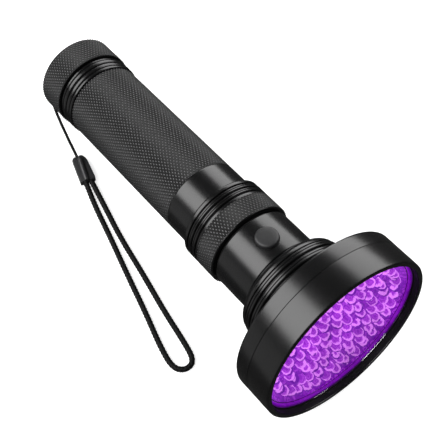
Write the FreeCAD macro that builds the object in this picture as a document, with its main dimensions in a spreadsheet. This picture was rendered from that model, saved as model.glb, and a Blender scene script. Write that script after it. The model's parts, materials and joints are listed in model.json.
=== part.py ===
import FreeCAD, Part
import math
import os
from types import SimpleNamespace

import Sketcher

# A hand-held ultraviolet torch: a round lamp head full of small lamps, a neck with a push
# button, a knurled grip that holds six cells in a cartridge, and a tail cap with a wrist strap.
# Every piece is drawn in the torch's own frame: Z along its axis from the tail end to the
# front, X out through the button. rest_attitude() then lays the torch on its side, resting on
# the tail cap's rim and on the lamp head's rear rim, with the front towards +X and +Z up.

DRIVING_SIZES = [
    ("cap_radius", 23.5, "tail cap, outside"),
    ("cap_length", 17.2, "tail cap, from its end to its mouth"),
    ("cap_floor", 7.0, "thickness of the tail cap's end"),
    ("cap_edge", 1.2, "rounding of the tail cap's end"),
    ("cap_gap", 1.2, "seal groove between the tail cap and the ledge of the tube"),
    ("tail_ledge", 1.3, "plain ledge between the seal groove and the first rib"),
    ("tail_ledge_drop", 1.0, "that ledge below the crest of the ribs"),
    ("screw_clearance", 0.2, "between a thread's crest and the plain bore over it"),
    ("pocket_radius", 10.5, "pocket for the tail contact"),
    ("pocket_depth", 2.5, "pocket for the tail contact"),
    ("cup_thickness", 0.8, "sheet of the tail contact cup"),
    ("cup_rim", 1.0, "rim of the tail contact cup"),
    ("tail_spring_room", 7.0, "from the cap's floor to the cell cartridge"),
    ("tail_spring_radius", 6.5, "tail spring, middle of the wire"),
    ("tail_spring_wire", 0.6, "tail spring, radius of the wire"),
    ("lanyard_radius", 1.1, "lanyard hole"),
    ("lanyard_slant", 48.0, "lanyard hole against the torch's axis, degrees"),
    ("lanyard_turn", 107.0, "lanyard hole round from the button, degrees"),
    ("cap_seam_turn", 0.7, "seam of the cap's turned faces round from the button, degrees"),
    ("lanyard_mouth", 5.2, "lanyard hole's mouth, from the tail end"),
    ("tube_start", 8.0, "rear end of the tube inside the tail cap"),
    ("tube_bore", 17.6, "cell bay, inside radius"),
    ("tube_radius", 22.1, "grip, outside"),
    ("cap_thread_crest", 19.9, "thread for the tail cap"),
    ("cap_thread_pitch", 2.5, "thread for the tail cap"),
    ("thread_depth", 0.7, "crest to root of every thread"),
    ("edge_break", 0.4, "bevels of turned edges"),
    ("fine_break", 0.2, "bevels at the seam and the lens"),
    ("seal_seat", 0.5, "how far a seal's seat reaches under the piece ahead or behind"),
    ("tail_seal_wire", 0.5, "section radius of the tail cap's seal"),
    ("seal_wire", 0.95, "section radius of the neck seal"),
    ("rib_radius", 22.9, "three turned ribs ahead of the tail cap"),
    ("rib_pitch", 3.25, "three turned ribs ahead of the tail cap"),
    ("rib_gap", 0.9, "groove between ribs"),
    ("rib_depth", 0.8, "groove between ribs"),
    ("grip_edge", 1.2, "bevel at the rear of the grip"),
    ("collar_ribs", 9.05, "length of the grooved part of the collar"),
    ("collar_pitch", 3.3, "grooves of the collar"),
    ("collar_length", 13.95, "knurled part of the collar"),
    ("collar_radius", 24.7, "knurled collar"),
    ("collar_edge", 0.9, "rounding at both ends of the collar"),
    ("collar_slot", 1.2, "depth of the collar's grooves"),
    ("socket_radius", 19.8, "socket for the switch housing"),
    ("socket_depth", 19.4, "socket for the switch housing"),
    ("glued_clearance", 0.1, "between glued tubular joints, on the radius"),
    ("neck_gap", 2.5, "seal groove between the collar and the neck"),
    ("neck_radius", 23.2, "neck round the button"),
    ("neck_length", 23.7, "neck round the button"),
    ("neck_bore", 19.6, "inside of the neck"),
    ("neck_step", 1.8, "step down to the neck's front spigot"),
    ("board_lip", 2.0, "lip in front of the contact board, both ways"),
    ("front_spring_room", 10.3, "from the cell cartridge to the switch housing"),
    ("front_spring_radius", 5.0, "front spring, middle of the wire"),
    ("front_spring_wire", 0.5, "front spring, radius of the wire"),
    ("front_plate_radius", 6.5, "contact plate behind the front spring"),
    ("front_plate_thickness", 0.5, "contact plate behind the front spring"),
    ("board_ring", 1.6, "width of the contact board's ring"),
    ("board_setback", 1.0, "contact board ahead of the switch housing's rear end"),
    ("head_gap", 1.3, "dark line between the neck and the fins"),
    ("hub_depth", 7.3, "socket in the head for the neck's spigot"),
    ("hub_lip", 2.0, "lip ahead of that socket"),
    ("hub_lip_height", 1.5, "lip ahead of that socket"),
    ("hub_radius", 24.1, "foot of the fins"),
    ("hub_cavity", 25.0, "space inside the fins"),
    ("fin_radius", 29.8, "crest of the first fin"),
    ("fin_growth", 0.5, "each fin is this much larger than the one behind it"),
    ("fin_floor", 28.4, "bottom of the grooves between fins"),
    ("fin_slot", 0.7, "groove behind the full fins"),
    ("fin_pitch", 4.1, "full fins"),
    ("fin_gap", 1.3, "groove between full fins"),
    ("flare_length", 5.4, "rounded flare up to the first fin"),
    ("hub_length", 22.4, "fins, up to the back of the lamp pan"),
    ("head_depth", 23.2, "lamp head, back to front rim"),
    ("head_edge", 1.5, "rounding of the lamp head's rear edge"),
    ("pan_side", 8.5, "side of the pan, up to the seam"),
    ("pan_wall", 4.3, "back of the pan"),
    ("seam", 0.2, "gap between the pan and the bezel"),
    ("spigot_length", 7.4, "threaded spigot of the pan"),
    ("spigot_wall", 2.3, "threaded spigot, at the root of its thread"),
    ("seal_land", 2.0, "plain land for the bezel's seal"),
    ("bezel_seal_wire", 0.45, "section radius of the bezel's seal"),
    ("bezel_wall", 1.8, "bezel round its bore"),
    ("bezel_overlap", 0.8, "bezel's front lip over the lens"),
    ("bezel_edge", 1.2, "rounding of the bezel's front edge"),
    ("bezel_thread_pitch", 1.5, "thread for the bezel"),
    ("lens_recess", 4.0, "lens behind the front rim"),
    ("lens_thickness", 2.0, "lens"),
    ("board_margin", 2.6, "lamp board round the outer ring of lamps"),
    ("board_clearance", 0.5, "round the lamp board"),
    ("board_thickness", 1.6, "every printed board"),
    ("lamp_height", 8.6, "lamp above its board"),
    ("lamp_radius", 2.5, "dome of a lamp"),
    ("lamp_flange", 2.9, "flange of a lamp"),
    ("lamp_flange_height", 1.0, "flange of a lamp"),
    ("lamp_spacing", 7.6, "distance between rings of lamps"),
    ("lamp_to_lens", 0.4, "gap from the lamps' tips to the lens"),
    ("standoff_radius", 3.0, "standoffs under the lamp board"),
    ("plate_thickness", 4.0, "reflector plate"),
    ("plate_lift", 1.1, "reflector plate above the lamp board"),
    ("plate_rim", 1.2, "rim that carries the reflector plate"),
    ("cup_clearance", 0.25, "round a lamp at the bottom of its cup"),
    ("resistor_length", 6.4, "resistors behind the lamp board"),
    ("button_radius", 6.1, "push button"),
    ("button_top", 25.2, "top of the push button from the torch's axis"),
    ("button_height", 7.3, "button above its flange"),
    ("button_edge", 0.8, "rounding of the button"),
    ("button_flange", 7.4, "flange that keeps the button in"),
    ("button_flange_thickness", 1.1, "flange that keeps the button in"),
    ("button_clearance", 0.2, "round the button"),
    ("button_travel", 1.5, "full press of the button"),
    ("switch_width", 10.0, "switch, square"),
    ("switch_height", 8.0, "switch"),
    ("switch_board_width", 32.0, "switch board, across the torch"),
    ("carrier_radius", 19.5, "switch carrier, outside"),
    ("carrier_bore", 14.0, "switch carrier, inside"),
    ("carrier_setback", 0.5, "switch carrier ahead of the neck's rear end"),
    ("carrier_short", 8.0, "switch carrier's front end behind the head's socket floor"),
    ("plunger_height", 2.4, "plunger between the switch and the button"),
    ("plunger_radius", 2.0, "plunger of the switch"),
    ("cell_radius", 7.1, "cell"),
    ("cell_length", 49.5, "cell without its nub"),
    ("cell_nub", 1.0, "cell's nub"),
    ("cell_nub_radius", 2.7, "cell's nub"),
    ("cell_circle", 8.6, "cells from the torch's axis"),
    ("cell_spring", 2.6, "spring behind each cell"),
    ("cell_spring_radius", 3.2, "spring behind each cell, middle of the wire"),
    ("cell_spring_wire", 0.4, "spring behind each cell, radius of the wire"),
    ("cell_plate_radius", 4.0, "plate that each cell's nub touches"),
    ("disc_radius", 17.2, "discs of the cell cartridge"),
    ("disc_thickness", 3.0, "discs of the cell cartridge"),
    ("post_radius", 2.0, "posts of the cell cartridge"),
    ("post_circle", 14.9, "posts from the torch's axis"),
    ("spine_radius", 1.4, "middle rod of the cell cartridge"),
    ("contact_thickness", 0.8, "contact plates"),
    ("tail_contact_radius", 8.5, "the cartridge's tail contact"),
    ("nose_radius", 4.0, "the cartridge's front contact"),
    ("nose_height", 1.0, "the cartridge's front contact"),
    ("screw_shank", 0.9, "small screws"),
    ("screw_head", 1.8, "small screws"),
    ("screw_head_height", 1.0, "small screws"),
    ("screw_length", 8.0, "cartridge screws, under the head"),
    ("screw_end", 1.0, "lamp board screws, into the pan's back"),
    ("wire_radius", 0.7, "insulated wires"),
    ("wire_run", 9.0, "straight run of a wire off its board"),
    ("wire_rise", 8.0, "wires on the contact board, towards the button"),
    ("wire_spread", 5.0, "wires on the contact board, to each side"),
    ("strap_length", 260.0, "wrist strap cord, both strands"),
    ("strap_radius", 1.4, "wrist strap cord"),
    ("string_radius", 0.5, "thin string of the strap"),
    ("connector_width", 8.4, "strap connector, wide end"),
    ("connector_height", 6.0, "strap connector"),
]

LAMP_RINGS = [1, 6, 12, 18, 27, 36]
RUNNING_GAP = 0.1
SNUG_GAP = 0.05

doc = FreeCAD.newDocument("ultraviolet_torch")
sheet = doc.addObject("Spreadsheet::Sheet", "Sizes")
for row, (alias, number, note) in enumerate(DRIVING_SIZES, start=1):
    sheet.set(f"A{row}", note)
    sheet.set(f"B{row}", str(number))
    sheet.setAlias(f"B{row}", alias)
doc.recompute()


class Size:
    """A number together with the sheet expression that it comes from."""

    def __init__(self, value, text):
        self.value = float(value)
        self.text = text

    def __add__(self, other):
        other = as_size(other)
        return Size(self.value + other.value, f"({self.text} + {other.text})")

    def __sub__(self, other):
        other = as_size(other)
        return Size(self.value - other.value, f"({self.text} - {other.text})")

    def __mul__(self, other):
        other = as_size(other)
        return Size(self.value * other.value, f"({self.text} * {other.text})")

    def __truediv__(self, other):
        other = as_size(other)
        return Size(self.value / other.value, f"({self.text} / {other.text})")


def as_size(value):
    return value if isinstance(value, Size) else Size(value, repr(float(value)))


def named_size(alias):
    return Size(getattr(sheet, alias), f"Sizes.{alias}")


S = SimpleNamespace(**{alias: named_size(alias) for alias, _, _ in DRIVING_SIZES})

# Radii of the lamp head, from the lamps outwards.
board_radius = S.lamp_spacing * (len(LAMP_RINGS) - 1) + S.lamp_flange + S.board_margin
spigot_bore = board_radius + S.board_clearance
bezel_thread_root = spigot_bore + S.spigot_wall
bezel_thread_crest = bezel_thread_root + S.thread_depth
bezel_bore = bezel_thread_crest + S.screw_clearance
lens_radius = bezel_bore - S.screw_clearance
bezel_lip = lens_radius - S.bezel_overlap
head_radius = bezel_bore + S.bezel_wall

# Stations along the axis, from the tail end: first the cap and the cell cartridge in the tube.
cup_floor = S.cap_floor - S.pocket_depth
cup_face = cup_floor + S.cup_thickness
cartridge_start = S.cap_floor + S.tail_spring_room
tail_contact_back = cartridge_start - S.contact_thickness
rear_cells = cartridge_start + S.disc_thickness + S.cell_spring
cell_pitch = S.cell_length + S.cell_nub + S.contact_thickness
middle_disc = rear_cells + cell_pitch
front_cells = middle_disc + S.disc_thickness + S.cell_spring
front_disc = front_cells + cell_pitch
cartridge_end = front_disc + S.disc_thickness

# The tube is as long as the cartridge and its front spring need.
ledge_start = S.cap_length + S.cap_gap
rib_start = ledge_start + S.tail_ledge
grip_start = rib_start + S.rib_pitch * 3
socket_floor = cartridge_end + S.front_spring_room
collar_end = socket_floor + S.socket_depth
collar_knurl = collar_end - S.collar_length
collar_start = collar_knurl - S.collar_ribs
contact_board_back = socket_floor + S.board_setback
contact_board_front = contact_board_back + S.board_thickness

# The neck with the button, and the lamp head on it.
neck_start = collar_end + S.neck_gap
neck_end = neck_start + S.neck_length
button_place = neck_start + S.neck_length * 0.536
head_start = neck_end + S.head_gap
hub_shoulder = head_start + S.hub_depth
pan_back = head_start + S.hub_length
pan_floor = pan_back + S.pan_wall
seam_place = pan_back + S.pan_side
bezel_start = seam_place + S.seam
spigot_end = seam_place + S.spigot_length
front_rim = pan_back + S.head_depth
lens_front = front_rim - S.lens_recess
lens_back = lens_front - S.lens_thickness
lamp_base = lens_back - S.lamp_to_lens - S.lamp_height
board_back = lamp_base - S.board_thickness

# Heights above the axis of the pieces under the button.
flange_top = S.button_top - S.button_height
flange_bottom = flange_top - S.button_flange_thickness
switch_top = flange_bottom - S.plunger_height
switch_bottom = switch_top - S.switch_height
switch_board_bottom = switch_bottom - S.board_thickness


def rest_frame():
    """The height of the tail end's axis point, the tilt and the middle of the length."""
    tail_rim = (S.cap_edge.value, S.cap_radius.value - S.cap_edge.value)
    rear_rim = (pan_back.value + S.head_edge.value, head_radius.value - S.head_edge.value)
    along = rear_rim[0] - tail_rim[0]
    across = rear_rim[1] - tail_rim[1]
    swell = S.head_edge.value - S.cap_edge.value
    tilt = math.atan2(across, along) + math.asin(swell / math.hypot(along, across))
    height = S.cap_edge.value - tail_rim[0] * math.sin(tilt) + tail_rim[1] * math.cos(tilt)
    low_x = tail_rim[0] * math.cos(tilt) - tail_rim[1] * math.sin(tilt) - S.cap_edge.value
    front = front_rim.value - S.bezel_edge.value
    front_radius = head_radius.value - S.bezel_edge.value
    high_x = front * math.cos(tilt) + front_radius * math.sin(tilt) + S.bezel_edge.value
    return height, tilt, (low_x + high_x) / 2


AXIS_HEIGHT, TILT, MIDDLE_X = rest_frame()


def rest_attitude():
    along = FreeCAD.Vector(math.cos(TILT), 0, math.sin(TILT))
    up = FreeCAD.Vector(-math.sin(TILT), 0, math.cos(TILT))
    turn = FreeCAD.Rotation(up, along.cross(up), along, "ZXY")
    return FreeCAD.Placement(FreeCAD.Vector(-MIDDLE_X, 0, AXIS_HEIGHT), turn)


REST = rest_attitude()
RADIAL = FreeCAD.Rotation(FreeCAD.Vector(0, 1, 0), 90)
SUB_PARTS = []


def local(x=0.0, y=0.0, z=0.0, turn=None):
    """A placement in the torch's own frame, from numbers or sizes."""
    place = FreeCAD.Vector(as_size(x).value, as_size(y).value, as_size(z).value)
    return FreeCAD.Placement(place, turn or FreeCAD.Rotation())


def bind(feature, **sizes):
    for name, size in sizes.items():
        size = as_size(size)
        setattr(feature, name, size.value)
        feature.setExpression(name, size.text)


def keep(feature, label, placement=None, at_rest=True):
    """Labels a finished sub-part and lays it down with the rest of the torch."""
    feature.Label = label
    placement = placement or FreeCAD.Placement()
    feature.Placement = REST.multiply(placement) if at_rest else placement
    SUB_PARTS.append(feature)
    return feature


def new_body(name):
    body = doc.addObject("PartDesign::Body", name + "_body")
    body.AllowCompound = True
    return body


def origin_feature(body, role):
    return [item for item in body.Origin.OriginFeatures if item.Role == role][0]


def draw_outline(body, points):
    """A closed outline of straight lines in the XZ plane, each corner tied to the sheet."""
    sketch = body.newObject("Sketcher::SketchObject", body.Name + "_outline")
    sketch.AttachmentSupport = (origin_feature(body, "XZ_Plane"), [""])
    sketch.MapMode = "FlatFace"
    points = [(as_size(radius), as_size(station)) for radius, station in points]
    corners = [FreeCAD.Vector(radius.value, station.value, 0) for radius, station in points]
    for start, end in zip(corners, corners[1:] + corners[:1]):
        sketch.addGeometry(Part.LineSegment(start, end), False)
    for index, (radius, station) in enumerate(points):
        following = (index + 1) % len(points)
        sketch.addConstraint(Sketcher.Constraint("Coincident", index, 2, following, 1))
        for kind, axis, size in (("DistanceX", -2, radius), ("DistanceY", -1, station)):
            if size.value == 0:
                sketch.addConstraint(Sketcher.Constraint("PointOnObject", index, 1, axis))
                continue
            number = sketch.addConstraint(Sketcher.Constraint(kind, -1, 1, index, 1, size.value))
            sketch.setExpression(f"Constraints[{number}]", size.text)
    return sketch


def turned(name, points, seam_turn=0):
    """A body turned about Z from its half outline, whose plane may stand a few degrees round Z."""
    body = new_body(name)
    sketch = draw_outline(body, points)
    sketch.AttachmentOffset = FreeCAD.Placement(
        FreeCAD.Vector(), FreeCAD.Rotation(FreeCAD.Vector(0, 1, 0), seam_turn))
    revolution = body.newObject("PartDesign::Revolution", name + "_turning")
    revolution.Profile = sketch
    revolution.ReferenceAxis = (sketch, ["V_Axis"])
    revolution.Angle = 360
    sketch.Visibility = False
    body.Tip = revolution
    doc.recompute()
    return body


def circle_edges(shape, radius, station):
    names = []
    for number, edge in enumerate(shape.Edges, start=1):
        curve = edge.Curve
        if not isinstance(curve, Part.Circle):
            continue
        near_radius = abs(curve.Radius - as_size(radius).value) < 1e-4
        if near_radius and abs(curve.Center.z - as_size(station).value) < 1e-4:
            names.append(f"Edge{number}")
    return names


def dress(body, kind, size, circles):
    """Fillets or chamfers the round edges with the given radii and stations."""
    base = body.Tip
    names = [name for radius, station in circles for name in circle_edges(base.Shape, radius, station)]
    feature = body.newObject("PartDesign::" + kind, f"{body.Name}_{kind}")
    feature.Base = (base, names)
    bind(feature, **{"Radius" if kind == "Fillet" else "Size": size})
    body.Tip = feature
    doc.recompute()


def primitive(body, kind, placement, **sizes):
    """An added or cut primitive inside a body."""
    feature = body.newObject("PartDesign::" + kind, f"{body.Name}_{kind}")
    bind(feature, **sizes)
    feature.Placement = placement
    body.Tip = feature
    doc.recompute()
    return feature


def round_pattern(body, feature, count):
    pattern = body.newObject("PartDesign::PolarPattern", body.Name + "_pattern")
    pattern.Originals = [feature]
    pattern.Axis = (origin_feature(body, "Z_Axis"), [""])
    pattern.Angle = 360
    pattern.Occurrences = count
    body.Tip = pattern
    doc.recompute()


def plain_disc(name, radius, start, thickness, hole=0):
    """A flat washer, or a full disc, whose axis is the torch's."""
    outline = [(hole, start), (radius, start), (radius, start + thickness), (hole, start + thickness)]
    return turned(name, outline)


def rod(name, radius, start, end):
    cylinder = doc.addObject("Part::Cylinder", name)
    bind(cylinder, Radius=radius, Height=end - start)
    return cylinder


def seal_ring(name, ring_radius, wire, station):
    torus = doc.addObject("Part::Torus", name)
    bind(torus, Radius1=ring_radius, Radius2=wire)
    keep(torus, name, local(z=station))


def coil(name, radius, wire, start, end, turns):
    """A wound spring whose ends stay inside the two stations, with a face for each turn."""
    helix = doc.addObject("Part::Helix", name + "_line")
    height = end - start - wire * 2
    bind(helix, Radius=radius, Height=height, Pitch=height / turns)
    helix.SegmentLength = 1
    section = doc.addObject("Part::Circle", name + "_section")
    bind(section, Radius=wire)
    facing = FreeCAD.Rotation(FreeCAD.Vector(1, 0, 0), 90)
    section.Placement = FreeCAD.Placement(FreeCAD.Vector(as_size(radius).value, 0, 0), facing)
    sweep = doc.addObject("Part::Sweep", name)
    sweep.Sections = [section]
    sweep.Spine = (helix, [])
    sweep.Solid = True
    sweep.Frenet = True
    doc.recompute()
    return sweep


def ridge_outline(crest, root, start, pitch, count):
    """Corners of a row of thread ridges, from the first one forwards."""
    corners = []
    for number in range(count):
        foot = start + pitch * number
        corners += [(root, foot), (crest, foot + pitch * 0.3)]
        corners += [(crest, foot + pitch * 0.5), (root, foot + pitch * 0.8)]
    return corners


# ---- Tail cap and its contact -------------------------------------------------------------

knot_radius = S.lanyard_radius * 1.4


def lanyard_direction():
    """Unit vector out of the lanyard hole's mouth, and the mouth's centre."""
    turn = math.radians(S.lanyard_turn.value)
    outward = FreeCAD.Vector(math.cos(turn), math.sin(turn), 0)
    slant = math.radians(S.lanyard_slant.value)
    direction = outward * math.sin(slant) + FreeCAD.Vector(0, 0, math.cos(slant))
    mouth = outward * S.cap_radius.value + FreeCAD.Vector(0, 0, S.lanyard_mouth.value)
    return direction, mouth


def make_tail_cap():
    bore = S.cap_thread_crest + S.screw_clearance
    body = turned("tail_cap", [
        (0, 0), (S.cap_radius, 0), (S.cap_radius, S.cap_length), (bore, S.cap_length),
        (bore, S.cap_floor), (S.pocket_radius, S.cap_floor), (S.pocket_radius, cup_floor),
        (0, cup_floor)], seam_turn=S.cap_seam_turn.value)
    dress(body, "Fillet", S.cap_edge, [(S.cap_radius, 0)])
    dress(body, "Chamfer", S.edge_break, [(S.cap_radius, S.cap_length)])
    direction, mouth = lanyard_direction()
    facing = FreeCAD.Rotation(FreeCAD.Vector(0, 0, 1), direction)
    past = S.lanyard_radius.value * 2
    depth = (mouth.z + past) / direction.z
    primitive(body, "SubtractiveCylinder", FreeCAD.Placement(mouth - direction * depth, facing),
              Radius=S.lanyard_radius, Height=depth + past)
    recess = knot_centre() - FreeCAD.Vector(0, 0, past)
    primitive(body, "SubtractiveCylinder", FreeCAD.Placement(recess, FreeCAD.Rotation()),
              Radius=S.lanyard_radius * 2.3, Height=knot_radius * 1.04 + past)
    keep(body, "tail_cap")


def knot_centre():
    """The knot sits in a recess of the tail end, on the lanyard hole's line."""
    direction, mouth = lanyard_direction()
    return mouth - direction * ((mouth.z - knot_radius.value) / direction.z)


def make_tail_contact():
    wall = S.pocket_radius - RUNNING_GAP
    seat, rim = cup_floor + SNUG_GAP, cup_face + S.cup_rim
    body = turned("tail_contact_cup", [
        (0, seat), (wall, seat), (wall, rim), (wall - S.cup_thickness, rim),
        (wall - S.cup_thickness, cup_face), (0, cup_face)])
    keep(body, "tail_contact_cup")
    start = cup_face + RUNNING_GAP
    end = tail_contact_back - RUNNING_GAP
    spring = coil("tail_spring", S.tail_spring_radius, S.tail_spring_wire, start, end, 3.5)
    keep(spring, "tail_spring", local(z=start + S.tail_spring_wire))


# ---- Grip tube ------------------------------------------------------------------------------

tail_seal_floor = S.cap_thread_crest - S.edge_break


def rib_outline(start, crest, count):
    """Corners of turned ribs with bevelled shoulders, each behind its groove."""
    corners = []
    shoulder = crest - S.edge_break
    for number in range(count):
        foot = start + S.rib_pitch * number
        top = foot + S.rib_pitch - S.rib_gap
        corners += [(shoulder, foot), (crest, foot + S.edge_break), (crest, top - S.edge_break)]
        corners += [(shoulder, top), (crest - S.rib_depth, top), (crest - S.rib_depth, top + S.rib_gap)]
    return corners


def make_body_tube():
    root = S.cap_thread_crest - S.thread_depth
    seat = tail_seal_floor
    seat_start = S.cap_length - S.seal_seat
    tail_side = [(S.tube_bore, S.tube_start), (root, S.tube_start)]
    first = S.tube_start + S.edge_break
    tail_side += ridge_outline(S.cap_thread_crest, root, first, S.cap_thread_pitch, 3)
    tail_side += [(root, seat_start), (seat, seat_start), (seat, ledge_start)]
    ledge = S.rib_radius - S.tail_ledge_drop
    tail_side += [(ledge, ledge_start), (ledge, rib_start)]
    ribs = rib_outline(rib_start, S.rib_radius, 3)[:-2]
    grip_foot = S.tube_radius - S.grip_edge
    grip = [(grip_foot, grip_start - S.rib_gap), (grip_foot, grip_start),
            (S.tube_radius, grip_start + S.grip_edge), (S.tube_radius, collar_start)]
    shoulder, floor = S.collar_radius - S.edge_break, S.collar_radius - S.collar_slot
    collar = [(S.collar_radius - S.collar_edge, collar_start),
              (S.collar_radius, collar_start + S.collar_edge)]
    for number in range(3):
        front = collar_knurl - S.collar_pitch * (2 - number)
        back = front - S.rib_gap
        collar += [(S.collar_radius, back - S.edge_break), (shoulder, back), (floor, back),
                   (floor, front), (shoulder, front), (S.collar_radius, front + S.edge_break)]
    collar += [(S.collar_radius, collar_end)]
    socket = [(S.socket_radius, collar_end), (S.socket_radius, socket_floor), (S.tube_bore, socket_floor)]
    body = turned("body_tube", tail_side + ribs + grip + collar + socket)
    dress(body, "Fillet", S.collar_edge, [(S.collar_radius, collar_end)])
    keep(body, "body_tube")


# ---- Switch housing and what is inside it ---------------------------------------------------


def make_switch_housing():
    spigot = S.socket_radius - S.glued_clearance
    rear_bore = S.disc_radius + S.screw_clearance
    front_spigot = S.neck_radius - S.neck_step
    bore_start = neck_start + S.edge_break
    ledge = contact_board_front
    lip_end, lip_bore = ledge + S.board_lip, rear_bore - S.board_lip
    body = turned("switch_housing", [
        (rear_bore, socket_floor), (spigot, socket_floor), (spigot, neck_start),
        (S.neck_radius, neck_start), (S.neck_radius, neck_end), (front_spigot, neck_end),
        (front_spigot, hub_shoulder), (S.neck_bore, hub_shoulder), (S.neck_bore, bore_start),
        (rear_bore, bore_start), (rear_bore, lip_end), (lip_bore, lip_end), (lip_bore, ledge),
        (rear_bore, ledge)])
    dress(body, "Chamfer", S.edge_break, [(S.neck_radius, neck_start), (S.neck_radius, neck_end)])
    primitive(body, "SubtractiveCylinder", local(S.neck_bore / 2, 0, button_place, RADIAL),
              Radius=S.button_radius + S.button_clearance, Height=S.neck_radius)
    keep(body, "switch_housing")


def make_contact_board():
    board = plain_disc("contact_board", S.disc_radius, contact_board_back, S.board_thickness)
    keep(board, "contact_board")
    ring = plain_disc("contact_board_ring", S.disc_radius, socket_floor, S.board_setback,
                      S.disc_radius - S.board_ring)
    keep(ring, "contact_board_ring")
    plate_back = contact_board_back - S.front_plate_thickness
    plate = plain_disc("front_contact_plate", S.front_plate_radius, plate_back, S.front_plate_thickness)
    keep(plate, "front_contact_plate")
    start = cartridge_end + S.nose_height + RUNNING_GAP
    spring = coil("front_spring", S.front_spring_radius, S.front_spring_wire, start, plate_back, 4.5)
    keep(spring, "front_spring", local(z=start + S.front_spring_wire))


def make_switch():
    carrier_start = neck_start + S.carrier_setback
    carrier_end = hub_shoulder - S.carrier_short
    carrier_length = carrier_end - carrier_start
    shell = rod("switch_carrier_shell", S.carrier_radius, carrier_start, carrier_end)
    shell.Placement = local(z=carrier_start)
    hollow = rod("switch_carrier_hollow", S.carrier_bore, carrier_start, carrier_end)
    hollow.Placement = local(z=carrier_start)
    hollowed = doc.addObject("Part::Cut", "switch_carrier_tube")
    hollowed.Base, hollowed.Tool = shell, hollow
    above = doc.addObject("Part::Box", "switch_carrier_above")
    bind(above, Length=S.neck_radius, Width=S.neck_radius * 2, Height=carrier_length)
    above.Placement = local(switch_board_bottom, S.neck_radius * -1, carrier_start)
    carrier = doc.addObject("Part::Cut", "switch_carrier_cut")
    carrier.Base, carrier.Tool = hollowed, above
    doc.recompute()
    keep(carrier, "switch_carrier")

    board = doc.addObject("Part::Box", "switch_board_sheet")
    bind(board, Length=S.board_thickness, Width=S.switch_board_width, Height=carrier_length)
    keep(board, "switch_board", local(switch_board_bottom, S.switch_board_width / -2, carrier_start))

    block = doc.addObject("Part::Box", "switch_block")
    bind(block, Length=S.switch_height, Width=S.switch_width, Height=S.switch_width)
    block.Placement = local(switch_bottom, S.switch_width / -2, button_place - S.switch_width / 2)
    well = doc.addObject("Part::Cylinder", "switch_well")
    bind(well, Radius=S.plunger_radius + S.button_clearance, Height=S.button_travel * 2)
    well.Placement = local(switch_top - S.button_travel * 1.35, 0, button_place, RADIAL)
    case = doc.addObject("Part::Cut", "switch_case")
    case.Base, case.Tool = block, well
    doc.recompute()
    keep(case, "switch_body")

    plunger_foot = switch_top - S.button_travel / 5
    plunger = rod("switch_pin", S.plunger_radius, plunger_foot, flange_bottom)
    keep(plunger, "switch_plunger", local(plunger_foot, 0, button_place, RADIAL))

    body = turned("button_cap", [
        (0, flange_bottom), (S.button_flange, flange_bottom), (S.button_flange, flange_top),
        (S.button_radius, flange_top), (S.button_radius, S.button_top), (0, S.button_top)])
    dress(body, "Fillet", S.button_edge, [(S.button_radius, S.button_top)])
    keep(body, "button_cap", local(0, 0, button_place, RADIAL))


# ---- Cell cartridge -------------------------------------------------------------------------


def cartridge_disc(name, start, screwed=True):
    body = plain_disc(name, S.disc_radius, start, S.disc_thickness)
    hole = (S.screw_shank if screwed else S.post_radius) + SNUG_GAP
    place = local(S.post_circle.value * 0.5, S.post_circle.value * math.sqrt(0.75), start)
    feature = primitive(body, "SubtractiveCylinder", place, Radius=hole, Height=S.disc_thickness)
    round_pattern(body, feature, 3)
    if not screwed:
        primitive(body, "SubtractiveCylinder", local(z=start), Radius=S.spine_radius + SNUG_GAP,
                  Height=S.disc_thickness)
    keep(body, name)


def around(circle, degrees, station):
    angle = math.radians(degrees)
    return local(circle.value * math.cos(angle), circle.value * math.sin(angle), station)


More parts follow.
